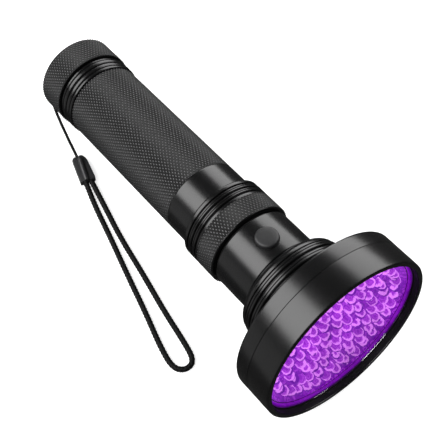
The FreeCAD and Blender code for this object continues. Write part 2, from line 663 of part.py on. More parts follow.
def make_cartridge():
    cartridge_disc("cartridge_tail_disc", cartridge_start)
    cartridge_disc("cartridge_middle_disc", middle_disc, screwed=False)
    cartridge_disc("cartridge_front_disc", front_disc)
    posts_start = cartridge_start + S.disc_thickness

    posts = new_body("cartridge_posts")
    height = front_disc - posts_start
    post = primitive(posts, "AdditiveCylinder", around(S.post_circle, 60, posts_start),
                     Radius=S.post_radius, Height=height)
    bore = primitive(posts, "SubtractiveCylinder", around(S.post_circle, 60, posts_start),
                     Radius=S.screw_shank + SNUG_GAP, Height=height)
    pattern = posts.newObject("PartDesign::PolarPattern", "cartridge_posts_pattern")
    pattern.Originals = [post, bore]
    pattern.Axis = (origin_feature(posts, "Z_Axis"), [""])
    pattern.Angle = 360
    pattern.Occurrences = 3
    posts.Tip = pattern
    doc.recompute()
    keep(posts, "cartridge_posts")

    spine = rod("cartridge_rod", S.spine_radius, posts_start, front_disc)
    keep(spine, "cartridge_spine", local(z=posts_start))

    screws = new_body("cartridge_screws")
    ends = ((cartridge_start - S.screw_head_height, cartridge_start),
            (cartridge_end, cartridge_end - S.screw_length))
    for head_foot, shank_foot in ends:
        head = primitive(screws, "AdditiveCylinder", around(S.post_circle, 60, head_foot),
                         Radius=S.screw_head, Height=S.screw_head_height)
        round_pattern(screws, head, 3)
        shank = primitive(screws, "AdditiveCylinder", around(S.post_circle, 60, shank_foot),
                          Radius=S.screw_shank, Height=S.screw_length)
        round_pattern(screws, shank, 3)
    keep(screws, "cartridge_screws")

    tail_plate = plain_disc("cartridge_tail_contact", S.tail_contact_radius, tail_contact_back,
                            S.contact_thickness)
    keep(tail_plate, "cartridge_tail_contact")
    nose = plain_disc("cartridge_front_contact", S.nose_radius, cartridge_end, S.nose_height)
    keep(nose, "cartridge_front_contact")

    plates = new_body("cell_plates")
    for station in (middle_disc - S.contact_thickness, front_disc - S.contact_thickness):
        plate = primitive(plates, "AdditiveCylinder", around(S.cell_circle, 0, station),
                          Radius=S.cell_plate_radius, Height=S.contact_thickness)
        round_pattern(plates, plate, 3)
    keep(plates, "cell_plates")

    springs = []
    outline = [(0, 0), (S.cell_radius, 0), (S.cell_radius, S.cell_length),
               (S.cell_nub_radius, S.cell_length), (S.cell_nub_radius, S.cell_length + S.cell_nub),
               (0, S.cell_length + S.cell_nub)]
    places = [(foot, 120 * side) for foot in (rear_cells, front_cells) for side in range(3)]
    for number, (foot, turn) in enumerate(places, start=1):
        battery = turned(f"battery_{number}", outline)
        keep(battery, f"battery_{number}", around(S.cell_circle, turn, foot))
        rest = foot - S.cell_spring
        wire = S.cell_spring_wire
        spring = coil(f"cell_spring_{number}", S.cell_spring_radius, wire, rest, foot, 1.5)
        spring.Placement = around(S.cell_circle, turn, rest + wire)
        springs.append(spring)
    group = doc.addObject("Part::Compound", "cell_springs_group")
    group.Links = springs
    doc.recompute()
    keep(group, "cell_springs")


# ---- Lamp head ------------------------------------------------------------------------------

bezel_seal_floor = bezel_thread_root - S.screw_clearance


def make_head_shell():
    neck_socket = S.neck_radius - S.neck_step + S.glued_clearance
    first_groove = head_start + S.flare_length
    band = first_groove + S.fin_slot
    outside = [(neck_socket, head_start), (S.hub_radius, head_start)]
    for share, along in ((0.5, 0.2), (0.8, 0.46), (0.96, 0.76)):
        outside.append((S.hub_radius + (S.fin_radius - S.hub_radius) * share,
                        head_start + S.flare_length * along))
    outside += [(S.fin_radius, first_groove), (S.fin_floor, first_groove), (S.fin_floor, band)]
    width = S.fin_pitch - S.fin_gap
    for number in range(4):
        crest = S.fin_radius + S.fin_growth * (number + 1)
        shoulder = crest - S.edge_break
        outside += [(shoulder, band), (crest, band + S.edge_break),
                    (crest, band + width - S.edge_break), (shoulder, band + width)]
        if number < 3:
            outside += [(S.fin_floor, band + width), (S.fin_floor, band + S.fin_pitch)]
            band = band + S.fin_pitch
    outside += [(S.fin_floor, band + width), (S.fin_floor, pan_back), (head_radius, pan_back),
                (head_radius, seam_place)]
    land_end = seam_place + S.seal_land
    outside += [(bezel_seal_floor, seam_place), (bezel_seal_floor, land_end),
                (bezel_thread_root, land_end)]
    outside += ridge_outline(bezel_thread_crest, bezel_thread_root, land_end + S.fine_break,
                             S.bezel_thread_pitch, 3)
    outside += [(bezel_thread_root, spigot_end)]
    lip, lip_end = S.neck_bore - S.hub_lip_height, hub_shoulder + S.hub_lip
    inside = [(spigot_bore, spigot_end), (spigot_bore, pan_floor), (S.hub_cavity, pan_floor),
              (S.hub_cavity, lip_end), (lip, lip_end), (lip, hub_shoulder),
              (neck_socket, hub_shoulder)]
    body = turned("head_shell", outside + inside)
    dress(body, "Fillet", S.head_edge, [(head_radius, pan_back)])
    dress(body, "Chamfer", S.fine_break, [(head_radius, seam_place)])
    standoff = primitive(body, "AdditiveCylinder", screw_place(pan_floor), Radius=S.standoff_radius,
                         Height=board_back - pan_floor)
    round_pattern(body, standoff, 3)
    depth = S.screw_end * 1.5
    bore = primitive(body, "SubtractiveCylinder", screw_place(pan_floor - depth),
                     Radius=S.screw_shank + SNUG_GAP, Height=board_back - pan_floor + depth)
    round_pattern(body, bore, 3)
    keep(body, "head_shell")


def screw_place(station):
    """The lamp board's screws sit in the gaps between the two outer rings of lamps."""
    return around(S.lamp_spacing * 4.5, 5, station)


def lamp_places():
    """Centres of the lamps on concentric rings: the two outer rings leave gaps for the screws."""
    places = []
    for ring, count in enumerate(LAMP_RINGS):
        step = 360 / count
        phase = 5 - step / 2 if count > 18 else 0
        for number in range(count):
            angle = math.radians(phase + step * number)
            radius = S.lamp_spacing.value * ring
            places.append(FreeCAD.Vector(radius * math.cos(angle), radius * math.sin(angle), 0))
    return places


def lamp_solid():
    """One lamp: a flange, a straight body and a round dome, turned about Z."""
    radius, flange, rim = S.lamp_radius.value, S.lamp_flange.value, S.lamp_flange_height.value
    shoulder = S.lamp_height.value - radius
    corners = [FreeCAD.Vector(*point) for point in (
        (0, 0, 0), (flange, 0, 0), (flange, 0, rim), (radius, 0, rim), (radius, 0, shoulder))]
    tip = FreeCAD.Vector(0, 0, shoulder + radius)
    bulge = FreeCAD.Vector(radius * math.sqrt(0.5), 0, shoulder + radius * math.sqrt(0.5))
    edges = [Part.LineSegment(start, end).toShape() for start, end in zip(corners, corners[1:])]
    edges.append(Part.Arc(corners[-1], bulge, tip).toShape())
    edges.append(Part.LineSegment(tip, corners[0]).toShape())
    face = Part.Face(Part.Wire(edges))
    return face.revolve(FreeCAD.Vector(0, 0, 0), FreeCAD.Vector(0, 0, 1), 360)


def make_lamps():
    lamp = lamp_solid()
    base = FreeCAD.Vector(0, 0, lamp_base.value)
    field = doc.addObject("Part::Feature", "lamp_field")
    field.Shape = Part.makeCompound([lamp.translated(place + base) for place in lamp_places()])
    keep(field, "leds")

    plate_back = lamp_base.value + S.plate_lift.value
    thickness = S.plate_thickness.value
    outer = board_radius.value
    disc = Part.makeCylinder(outer, thickness + S.plate_lift.value, base)
    under = Part.makeCylinder(outer - S.plate_rim.value, S.plate_lift.value, base)
    narrow = S.lamp_radius.value + S.cup_clearance.value
    wide = S.lamp_spacing.value * 0.428
    cup = Part.makeCone(narrow, wide, thickness)
    lift = FreeCAD.Vector(0, 0, plate_back)
    cups = Part.makeCompound([cup.translated(place + lift) for place in lamp_places()])
    plate = doc.addObject("Part::Feature", "reflector_sheet")
    plate.Shape = disc.cut(under).cut(cups)
    keep(plate, "reflector_plate")


def make_head_inside():
    board = plain_disc("led_board", board_radius, board_back, S.board_thickness)
    hole = primitive(board, "SubtractiveCylinder", screw_place(board_back),
                     Radius=S.screw_shank + SNUG_GAP, Height=S.board_thickness)
    round_pattern(board, hole, 3)
    keep(board, "led_board")

    screws = new_body("led_board_screws")
    shank_foot = pan_floor - S.screw_end
    shank = primitive(screws, "AdditiveCylinder", screw_place(shank_foot), Radius=S.screw_shank,
                      Height=lamp_base - shank_foot)
    round_pattern(screws, shank, 3)
    head = primitive(screws, "AdditiveCylinder", screw_place(lamp_base), Radius=S.screw_head,
                     Height=S.screw_head_height)
    round_pattern(screws, head, 3)
    keep(screws, "led_board_screws")

    resistors = new_body("ballast_resistors")
    length = S.resistor_length
    block = primitive(resistors, "AdditiveBox", local(length * 1.9, length / -4, board_back - length / 8),
                      Length=length, Width=length / 2, Height=length / 8)
    round_pattern(resistors, block, 4)
    keep(resistors, "ballast_resistors")

    gasket = plain_disc("lens_gasket", bezel_lip, spigot_end, lens_back - spigot_end,
                        spigot_bore + S.edge_break)
    keep(gasket, "lens_gasket")


def make_lens_and_bezel():
    lens = plain_disc("lens", lens_radius, lens_back, S.lens_thickness)
    dress(lens, "Chamfer", S.fine_break, [(lens_radius, lens_front)])
    keep(lens, "lens")
    bezel = turned("bezel_ring", [
        (bezel_bore, bezel_start), (head_radius, bezel_start), (head_radius, front_rim),
        (bezel_lip, front_rim), (bezel_lip, lens_front), (bezel_bore, lens_front)])
    dress(bezel, "Fillet", S.bezel_edge, [(head_radius, front_rim)])
    dress(bezel, "Chamfer", S.fine_break, [(head_radius, bezel_start), (bezel_lip, front_rim)])
    keep(bezel, "bezel_ring")


# ---- Wires and the wrist strap --------------------------------------------------------------


def rounded_route(points, label):
    """A wire of straight runs joined by tangent arcs as large as the runs allow."""
    edges = []
    radii = []
    start = points[0]
    for before, corner, after in zip(points, points[1:], points[2:]):
        incoming = (before - corner).normalize()
        outgoing = (after - corner).normalize()
        turn = math.pi - incoming.getAngle(outgoing)
        reach = 0.45 * min((before - corner).Length, (after - corner).Length)
        radius = reach / math.tan(turn / 2)
        centre = corner + (incoming + outgoing).normalize() * (radius / math.cos(turn / 2))
        entry, leaving = corner + incoming * reach, corner + outgoing * reach
        middle = centre + (corner - centre).normalize() * radius
        edges.append(Part.LineSegment(start, entry).toShape())
        edges.append(Part.Arc(entry, middle, leaving).toShape())
        start = leaving
        radii.append(round(radius, 1))
    edges.append(Part.LineSegment(start, points[-1]).toShape())
    print(label, "arc radii", radii, "length", round(sum(edge.Length for edge in edges), 1))
    return Part.Wire(edges)


def tube_along(label, points, radius, at_rest):
    """A round cord or wire along a rounded route, checked against section times length."""
    route = rounded_route(points, label)
    heading = points[1] - points[0]
    circle = Part.Wire([Part.makeCircle(radius, points[0], heading)])
    shape = route.makePipeShell([circle], True, False)
    expected = math.pi * radius ** 2 * route.Length
    if abs(shape.Volume - expected) > 0.01 * expected:
        raise ValueError(f"{label}: volume {shape.Volume:.1f}, not {expected:.1f}")
    feature = doc.addObject("Part::Feature", label + "_tube")
    feature.Shape = shape
    keep(feature, label, at_rest=at_rest)


def vectors(points):
    return [FreeCAD.Vector(*[as_size(value).value for value in point]) for point in points]


def make_wires():
    board = switch_board_bottom + S.board_thickness / 2
    board_rear = neck_start + S.carrier_setback
    board_front = hub_shoulder - S.carrier_short
    run = S.wire_run
    for label, spread in (("red", S.wire_spread), ("black", S.wire_spread * -1)):
        aside = spread * 1.4
        rear = [(S.wire_rise, spread, contact_board_front),
                (S.wire_rise, spread, contact_board_front + run),
                (board, aside, board_rear - run * 0.8), (board, aside, board_rear)]
        tube_along(f"rear_{label}_wire", vectors(rear), S.wire_radius.value, True)
        front = [(board, aside, board_front), (board, aside, board_front + run),
                 (S.wire_spread * 2, spread * 2.2, board_back - run * 1.2),
                 (S.wire_spread * 2, spread * 2.2, board_back)]
        tube_along(f"front_{label}_wire", vectors(front), S.wire_radius.value, True)


# The strap lies on the surface beside the torch: points of its middle line, seen from above,
# from the foot of the tail end's axis point. The last number is the height of that line, in
# half thicknesses of the piece. The points are for a strap of DRAWN_STRAP millimetres.
DRAWN_STRAP = 260.0
CONNECTOR_TOP = (36.6, -27.9, 1.07)
CONNECTOR_END = (54.3, -32.1, 1.03)
STRAP_ROUTE = [
    (54.1, -33.75, 2.15), (67.0, -37.2, 1.1), (90.0, -42.2, 1.0), (116.0, -48.7, 1.0),
    (140.0, -54.2, 1.0), (160.0, -59.7, 1.0), (174.0, -62.1, 1.0), (179.2, -57.2, 1.0),
    (177.6, -50.8, 1.0), (166.0, -48.8, 1.0), (146.0, -46.5, 1.0), (120.0, -42.1, 1.0),
    (94.0, -38.6, 1.0), (72.0, -33.9, 1.1), (54.8, -30.55, 2.15)]
CONNECTOR_SECTIONS = ((0.0, 0.67, 0.73), (0.07, 0.86, 0.97), (0.85, 0.95, 1.0), (1.0, 1.0, 1.0))


def on_the_surface(point, half_thickness):
    """A strap point in the torch's resting frame."""
    scale = S.strap_length.value / DRAWN_STRAP
    return FreeCAD.Vector(point[0] * scale - MIDDLE_X, point[1] * scale, point[2] * half_thickness.value)


def make_strap():
    top = on_the_surface(CONNECTOR_TOP, S.connector_height / 2)
    end = on_the_surface(CONNECTOR_END, S.connector_height / 2)
    heading = (end - top).normalize()
    sideways = FreeCAD.Vector(0, 0, 1).cross(heading)
    facing = FreeCAD.Rotation(sideways, heading.cross(sideways), heading, "ZXY")
    sections = []
    for along, width, height in CONNECTOR_SECTIONS:
        outline = Part.Ellipse(FreeCAD.Vector(0, 0, 0), S.connector_width.value * width / 2,
                               S.connector_height.value * height / 2)
        section = Part.Wire([outline.toShape()])
        section.translate(FreeCAD.Vector(0, 0, (end - top).Length * along))
        sections.append(section)
    connector = doc.addObject("Part::Feature", "strap_connector_sleeve")
    connector.Shape = Part.makeLoft(sections, True, True)
    keep(connector, "strap_connector", FreeCAD.Placement(top, facing), at_rest=False)

    knot = doc.addObject("Part::Sphere", "strap_knot_ball")
    bind(knot, Radius=knot_radius)
    keep(knot, "strap_knot", FreeCAD.Placement(knot_centre(), FreeCAD.Rotation()))
    direction, mouth = lanyard_direction()
    gap = S.button_clearance.value
    inner = REST.multVec(knot_centre() + direction * knot_radius.value)
    bend = REST.multVec(mouth + direction * gap)
    tube_along("strap_string", [inner, bend, top - heading * gap], S.string_radius.value, False)
    route = [on_the_surface(point, S.strap_radius) for point in STRAP_ROUTE]
    tube_along("strap_cord", route, S.strap_radius.value, False)


def make_seals():
    tail_wire, neck_wire = S.tail_seal_wire, S.seal_wire
    seal_ring("tail_cap_seal", tail_seal_floor + tail_wire + SNUG_GAP, tail_wire,
              S.cap_length + S.cap_gap / 2)
    neck_floor = S.socket_radius - S.glued_clearance
    seal_ring("neck_seal", neck_floor + neck_wire + SNUG_GAP, neck_wire, collar_end + S.neck_gap / 2)
    bezel_wire = S.bezel_seal_wire
    seal_ring("bezel_seal", bezel_seal_floor + bezel_wire + SNUG_GAP, bezel_wire,
              seam_place + S.seal_land / 2)


make_tail_cap()
make_tail_contact()
make_body_tube()
make_switch_housing()
make_contact_board()
make_switch()
make_cartridge()
make_head_shell()
make_head_inside()
make_lamps()
make_lens_and_bezel()
make_seals()
make_wires()
make_strap()
doc.recompute()

faults = [item.Label for item in doc.Objects if {"Invalid", "Error"} & set(item.State)]
faults += [item.Label for item in SUB_PARTS if item.Shape.isNull() or not item.Shape.isValid()]
if faults:
    raise RuntimeError("failed pieces: " + ", ".join(faults))

os.makedirs("parts", exist_ok=True)
for item in SUB_PARTS:
    item.Shape.exportStep(f"parts/{item.Label}.step")
print(len(SUB_PARTS), "sub-parts; tilt", round(math.degrees(TILT), 3), "degrees; axis height",
      round(AXIS_HEIGHT, 3), "; middle", round(MIDDLE_X, 3))
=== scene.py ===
# %% [markdown]
# # A handheld ultraviolet torch
# This lesson dresses a finished CAD model of a torch: a wide lamp head full of violet lamps, a
# neck with a push button, a knurled grip, a tail cap and a braided wrist strap. The CAD model
# gives every size and every moving body. Blender adds what the model is too plain to show: the
# knurling, rounded edges, braid, and the finishes. The first step loads the model.

# %% Load the model
import bpy
import json
import math
from mathutils import Matrix, Vector

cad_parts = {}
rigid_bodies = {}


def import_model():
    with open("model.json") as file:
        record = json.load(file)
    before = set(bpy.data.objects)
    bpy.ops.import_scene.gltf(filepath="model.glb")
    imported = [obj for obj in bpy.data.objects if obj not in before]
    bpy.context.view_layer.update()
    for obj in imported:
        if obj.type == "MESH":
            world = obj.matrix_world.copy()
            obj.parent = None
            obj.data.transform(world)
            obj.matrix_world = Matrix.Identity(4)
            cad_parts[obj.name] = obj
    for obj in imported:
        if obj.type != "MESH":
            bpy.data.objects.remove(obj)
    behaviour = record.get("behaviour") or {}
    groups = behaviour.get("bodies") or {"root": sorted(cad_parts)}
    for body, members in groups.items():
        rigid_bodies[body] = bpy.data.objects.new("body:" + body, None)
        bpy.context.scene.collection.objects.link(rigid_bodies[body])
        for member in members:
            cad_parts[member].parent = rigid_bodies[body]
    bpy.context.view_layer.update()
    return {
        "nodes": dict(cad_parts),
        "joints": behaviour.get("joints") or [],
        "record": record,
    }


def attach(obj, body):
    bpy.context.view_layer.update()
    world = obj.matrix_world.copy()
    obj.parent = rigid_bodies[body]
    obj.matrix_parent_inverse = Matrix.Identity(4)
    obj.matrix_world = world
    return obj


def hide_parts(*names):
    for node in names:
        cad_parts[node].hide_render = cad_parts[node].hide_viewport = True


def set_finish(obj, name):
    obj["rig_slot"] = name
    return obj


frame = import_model()

# %% [markdown]
# The torch lies on its side, on the rims of its tail cap and of its head, so its axis rises a
# little. Turned pieces are easiest to model standing up, with Z along the axis and X towards the
# button, and are then laid down with one matrix. The axis is read from the bezel's screw joint,
# so the pieces agree with the model.

# %% The torch's own frame
MM = 0.001
UP = Vector((0, 0, 1))
bezel_joint = next(joint for joint in frame["joints"] if joint["name"] == "bezel_turn")
AXIS = Vector(bezel_joint["axis"]).normalized()
TOWARDS_BUTTON = (UP - AXIS * AXIS.z).normalized()
ASIDE = AXIS.cross(TOWARDS_BUTTON)
TAIL = Vector((-117.486, 0, 23.194)) * MM
LAID_DOWN = Matrix.Translation(TAIL) @ Matrix((TOWARDS_BUTTON, ASIDE, AXIS)).transposed().to_4x4()
print("axis", [round(v, 4) for v in AXIS], "tail", [round(v, 4) for v in TAIL])

# %% [markdown]
# The photograph looks down on the torch from beyond its head and a little to its side. The
# camera's place, direction and lens come from the outlines of the torch's rings, which are
# circles of known size. It comes first, because the strap has to lie inside its view.

# %% Camera
camera_data = bpy.data.cameras.new("photograph")
camera = bpy.data.objects.new("photograph", camera_data)
bpy.context.scene.collection.objects.link(camera)
camera_data.sensor_width = 36.0
camera_data.lens = 80.62
camera_data.clip_start, camera_data.clip_end = 0.05, 20.0
LOOK = Vector((-0.38813, 0.30593, -0.86935)).normalized()
RIGHT = Vector((0.62186, 0.78312, -0.00205))
RIGHT = (RIGHT - LOOK * RIGHT.dot(LOOK)).normalized()
camera.matrix_world = Matrix.Translation((0.22248, -0.15913, 0.48757)) @ Matrix(
    (RIGHT, RIGHT.cross(LOOK), -LOOK)).transposed().to_4x4()
bpy.context.scene.camera = camera
print("camera", [round(v, 3) for v in camera.location], "lens", camera_data.lens)

# %% [markdown]
# ## The wrist strap
# The strap is a thin string, knotted inside the tail cap, a plastic sleeve, and a loop of braided
# cord. A cord is one smooth line under its own weight, so its middle line is a NURBS spline whose
# few control points lie on the floor beside the torch. The photograph shows the loop from end to
# end, about 260 mm. A round tube along that line would look like cable, so the braid is made of
# eight yarns that follow points read from the spline.

# %% Lines of the string and of the cord
STRING_ROUTE = [(-114.211, -19.680, 17.530), (-111.360, -22.615, 16.971), (-80.6, -27.55, 3.211)]
STRAP_ROUTE = [
    (-64.2, -33.1, 3.01), (-50.6, -37.3, 1.65), (-27.6, -42.4, 1.55), (-1.6, -48.9, 1.55),
    (22.4, -54.4, 1.55), (42.4, -59.8, 1.55), (56.5, -62.1, 1.55), (61.7, -57.2, 1.55),
    (60.2, -50.8, 1.55), (48.7, -48.6, 1.55), (28.7, -46.3, 1.55), (2.7, -41.9, 1.55),
    (-23.3, -38.3, 1.55), (-45.4, -33.5, 1.65), (-64.2, -29.9, 3.01)]


def smooth_line(name, route):
    """A NURBS spline with the route's points, in millimetres, as its control points."""
    curve = bpy.data.curves.new(name, "CURVE")
    curve.dimensions = "3D"
    curve.resolution_u = 24
    spline = curve.splines.new("NURBS")
    spline.points.add(len(route) - 1)
    for point, place in zip(spline.points, route):
        point.co = (*(Vector(place) * MM), 1.0)
    spline.order_u = 3
    spline.use_endpoint_u = True
    line = bpy.data.objects.new(name, curve)
    bpy.context.scene.collection.objects.link(line)
    return line


def points_on(line):
    """Points along a line that has no thickness, in order."""
    bpy.context.view_layer.update()
    wire = bpy.data.meshes.new_from_object(line.evaluated_get(bpy.context.evaluated_depsgraph_get()))
    places = [vertex.co.copy() for vertex in wire.vertices]
    bpy.data.meshes.remove(wire)
    return places


strap_line = smooth_line("strap_line", STRAP_ROUTE)
strap_points = points_on(strap_line)
bpy.data.objects.remove(strap_line)

# %% [markdown]
# In a round braid half the yarns wind one way and half the other, and each passes over one yarn
# and under the next. A yarn's distance from the middle therefore rises and falls like a wave,
# and the two directions rise at opposite times.

# %% Braid the strap
YARNS_EACH_WAY = 4
STRAP_RADIUS = 1.55 * MM
STRING_RADIUS = 0.85 * MM


def evenly_spaced(places, step):
    """The same line with its points one step apart."""
    spaced, spare = [places[0]], 0.0
    for start, end in zip(places, places[1:]):
        run = (end - start).length
        at = step - spare
        while at <= run:
            spaced.append(start.lerp(end, at / run))
            at += step
        spare = run - (at - step)
    return spaced


def frames_along(places):
    """For each point, its place, the direction of travel and two directions across it."""
    frames, side = [], None
    for index, place in enumerate(places):
        ahead = places[min(index + 1, len(places) - 1)] - places[max(index - 1, 0)]
        ahead.normalize()
        side = ahead.cross(UP) if side is None else side - ahead * side.dot(ahead)
        side.normalize()
        frames.append((place, ahead, side.copy(), ahead.cross(side)))
    return frames


def skin(rings):
    """Corners and faces of a closed tube through rings of points."""
    sides = len(rings[0])
    corners = [corner for ring in rings for corner in ring]
    faces = [(row * sides + side, row * sides + (side + 1) % sides,
              (row + 1) * sides + (side + 1) % sides, (row + 1) * sides + side)
             for row in range(len(rings) - 1) for side in range(sides)]
    faces.append(tuple(range(sides))[::-1])
    faces.append(tuple(range(len(corners) - sides, len(corners))))
    return corners, faces


def yarn(frames, number, way, radius):
    """Rings of one flat yarn that winds round the line, over and under the others."""
    step_turn = math.tau * 0.056
    rings = []
    for index, (place, ahead, side, over) in enumerate(frames):
        travelled = step_turn * index
        turn = way * travelled + math.tau * number / YARNS_EACH_WAY
        outward = side * math.cos(turn) + over * math.sin(turn)
        reach = radius * (0.78 + 0.11 * way * math.cos(travelled * YARNS_EACH_WAY))
        around = ahead.cross(outward)
        along = ahead * math.cos(0.72) + around * (way * math.sin(0.72))
        across = along.cross(outward)
        middle = place + outward * reach
        rings.append([middle + across * (radius * 0.40 * math.cos(math.tau * k / 6))
                      + outward * (radius * 0.19 * math.sin(math.tau * k / 6)) for k in range(6)])
    return rings


def braid(name, places, radius):
    frames = frames_along(evenly_spaced(places, radius * 0.3))
    corners, faces = [], []
    tubes = [yarn(frames, number, way, radius) for number in range(YARNS_EACH_WAY) for way in (1, -1)]
    tubes.append([[place + (side * math.cos(math.tau * k / 8) + over * math.sin(math.tau * k / 8))
                   * (radius * 0.62) for k in range(8)] for place, _, side, over in frames[::3]])
    for rings in tubes:
        tube_corners, tube_faces = skin(rings)
        faces += [tuple(len(corners) + corner for corner in face) for face in tube_faces]
        corners += tube_corners
    mesh = bpy.data.meshes.new(name)
    mesh.from_pydata([tuple(corner) for corner in corners], [], faces)
    mesh.validate()
    piece = bpy.data.objects.new(name, mesh)
    bpy.context.scene.collection.objects.link(piece)
    return piece


def deselect():
    if bpy.context.mode != "OBJECT":
        bpy.ops.object.mode_set(mode="OBJECT")
    bpy.ops.object.select_all(action="DESELECT")


def soften(piece, degrees):
    """Smooth shading, except across edges that turn by more than this."""
    deselect()
    piece.select_set(True)
    bpy.context.view_layer.objects.active = piece
    bpy.ops.object.shade_smooth_by_angle(angle=math.radians(degrees))
    deselect()


strap = braid("braided_strap", strap_points, STRAP_RADIUS)
soften(strap, 60)
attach(strap, "tail_cap")
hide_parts("strap_cord")
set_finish(strap, "strap_braid")
print("braided strap:", len(strap.data.polygons), "faces")

# %% [markdown]
# The sleeve that holds the string and both ends of the cord is a small moulding: a flat body with
# round shoulders, a notch where the string goes in, and a raised barrel along its middle. Its plan
# is drawn by extruding a vertex from corner to corner, then filled, thickened and bevelled.

# %% Sleeve
SLEEVE_TOP = Vector((-80.886, -27.9, 0.9))
SLEEVE_TURN = math.radians(-15.4)
SLEEVE_PLAN = [
    (0.3, 0.9), (0.3, -0.4), (-0.1, -1.3), (0.7, -2.6), (2.0, -3.3), (8.3, -3.45), (16.6, -3.6),
    (17.5, -3.75), (17.9, -3.5), (17.9, 4.8), (17.6, 5.3), (16.8, 5.5), (10.4, 5.3), (4.4, 5.1),
    (2.4, 4.6), (0.9, 3.9), (0.0, 2.9), (-0.1, 1.9)]


def plate_from_plan(name, plan, height):
    """A closed plan in millimetres, drawn by extruding a vertex, then filled and thickened."""
    corners = [Vector((x, y, 0)) * MM for x, y in plan]
    deselect()
    bpy.ops.mesh.primitive_plane_add(size=MM, location=(0, 0, 0))
    piece = bpy.context.object
    piece.name = piece.data.name = name
    bpy.ops.object.mode_set(mode="EDIT")
    bpy.ops.mesh.select_all(action="SELECT")
    bpy.ops.mesh.merge(type="CENTER")
    bpy.ops.transform.translate(value=corners[0])
    for start, end in zip(corners, corners[1:] + corners[:1]):
        bpy.ops.mesh.extrude_vertices_move(TRANSFORM_OT_translate={"value": end - start})
    bpy.ops.mesh.select_all(action="SELECT")
    bpy.ops.mesh.remove_doubles(threshold=1e-6)
    bpy.ops.mesh.select_all(action="SELECT")
    bpy.ops.mesh.edge_face_add()
    bpy.ops.mesh.extrude_region_move(TRANSFORM_OT_translate={"value": (0, 0, height * MM)})
    bpy.ops.mesh.select_all(action="SELECT")
    bpy.ops.mesh.normals_make_consistent(inside=False)
    bpy.ops.object.mode_set(mode="OBJECT")
    return piece


def round_edges(piece, width, sharper_than):
    """Rounds the edges that turn by more than this, with a bevel modifier that is applied."""
    bevel = piece.modifiers.new("rounded_edges", "BEVEL")
    bevel.width, bevel.segments = width * MM, 3
    bevel.limit_method, bevel.angle_limit = "ANGLE", math.radians(sharper_than)
    deselect()
    bpy.context.view_layer.objects.active = piece
    bpy.ops.object.modifier_apply(modifier=bevel.name)


sleeve = plate_from_plan("moulded_sleeve", SLEEVE_PLAN, 3.9)
round_edges(sleeve, 0.75, 50)
deselect()
bpy.ops.mesh.primitive_cylinder_add(vertices=40, radius=1.75 * MM, depth=16.0 * MM,
                                    location=(9.9 * MM, 0.95 * MM, 3.55 * MM),
                                    rotation=(0, math.radians(90), math.radians(-4)))
barrel = bpy.context.object
round_edges(barrel, 0.5, 50)
deselect()
barrel.select_set(True)
sleeve.select_set(True)
bpy.context.view_layer.objects.active = sleeve
bpy.ops.object.join()
sleeve.matrix_world = Matrix.Translation(SLEEVE_TOP * MM) @ Matrix.Rotation(SLEEVE_TURN, 4, "Z")
deselect()
sleeve.select_set(True)
bpy.context.view_layer.objects.active = sleeve
bpy.ops.object.transform_apply(location=True, rotation=True, scale=True)
soften(sleeve, 40)
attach(sleeve, "tail_cap")
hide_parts("strap_connector")
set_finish(sleeve, "strap_plastic")
print("sleeve:", len(sleeve.data.polygons), "faces")

# %% Twist the string
string_line = smooth_line("string_line", STRING_ROUTE)
string_points = points_on(string_line)
bpy.data.objects.remove(string_line)
string = braid("twisted_string", string_points, STRING_RADIUS)
soften(string, 60)
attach(string, "tail_cap")
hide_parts("strap_string")
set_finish(string, "strap_braid")

# %% [markdown]
# ## Turned pieces
# Almost every outer piece of the torch is turned on a lathe. Blender's own lathe is the spin
# operator: the half outline is drawn by extruding a vertex from corner to corner, and the spin
# sweeps it round the axis. Real turned edges are never quite sharp, and it's the small roundings
# that catch the light, so a corner may carry a third number, how far its rounding reaches.


# %% A lathe
def rounded(outline, pieces=4):
    """Replaces each corner that has a third number with a short curve."""
    points = []
    for index, corner in enumerate(outline):
        place = Vector(corner[:2])
        if len(corner) < 3:
            points.append(place)
            continue
        before = Vector(outline[index - 1][:2]) - place
        after = Vector(outline[(index + 1) % len(outline)][:2]) - place
        reach = min(corner[2], before.length * 0.45, after.length * 0.45)
        start, end = place + before.normalized() * reach, place + after.normalized() * reach
        for step in range(pieces + 1):
            share = step / pieces
            points.append(start.lerp(place, share).lerp(place.lerp(end, share), share))
    return points


def turned(name, outline, steps):
    """Draws an outline of (radius, station) in millimetres and spins it round Z."""
    corners = [Vector((radius, 0, station)) * MM for radius, station in rounded(outline)]
    deselect()
    bpy.ops.mesh.primitive_plane_add(size=MM, location=(0, 0, 0))
    piece = bpy.context.object
    piece.name = piece.data.name = name
    bpy.ops.object.mode_set(mode="EDIT")
    bpy.ops.mesh.select_all(action="SELECT")
    bpy.ops.mesh.merge(type="CENTER")
    bpy.ops.transform.translate(value=corners[0])
    for start, end in zip(corners, corners[1:] + corners[:1]):
        bpy.ops.mesh.extrude_vertices_move(TRANSFORM_OT_translate={"value": end - start})
    bpy.ops.mesh.select_all(action="SELECT")
    bpy.ops.mesh.remove_doubles(threshold=1e-6)
    bpy.ops.mesh.spin(steps=steps, angle=math.tau, center=(0, 0, 0), axis=(0, 0, 1))
    bpy.ops.mesh.select_all(action="SELECT")
    bpy.ops.mesh.remove_doubles(threshold=1e-6)
    bpy.ops.mesh.normals_make_consistent(inside=False)
    bpy.ops.object.mode_set(mode="OBJECT")
    return piece


def lay_down(piece, matrix=LAID_DOWN):
    """Moves a piece from the lathe to its place on the torch, and applies that place."""
    deselect()
    piece.select_set(True)
    bpy.context.view_layer.objects.active = piece
    piece.matrix_world = matrix
    bpy.ops.object.transform_apply(location=True, rotation=True, scale=True)
    deselect()
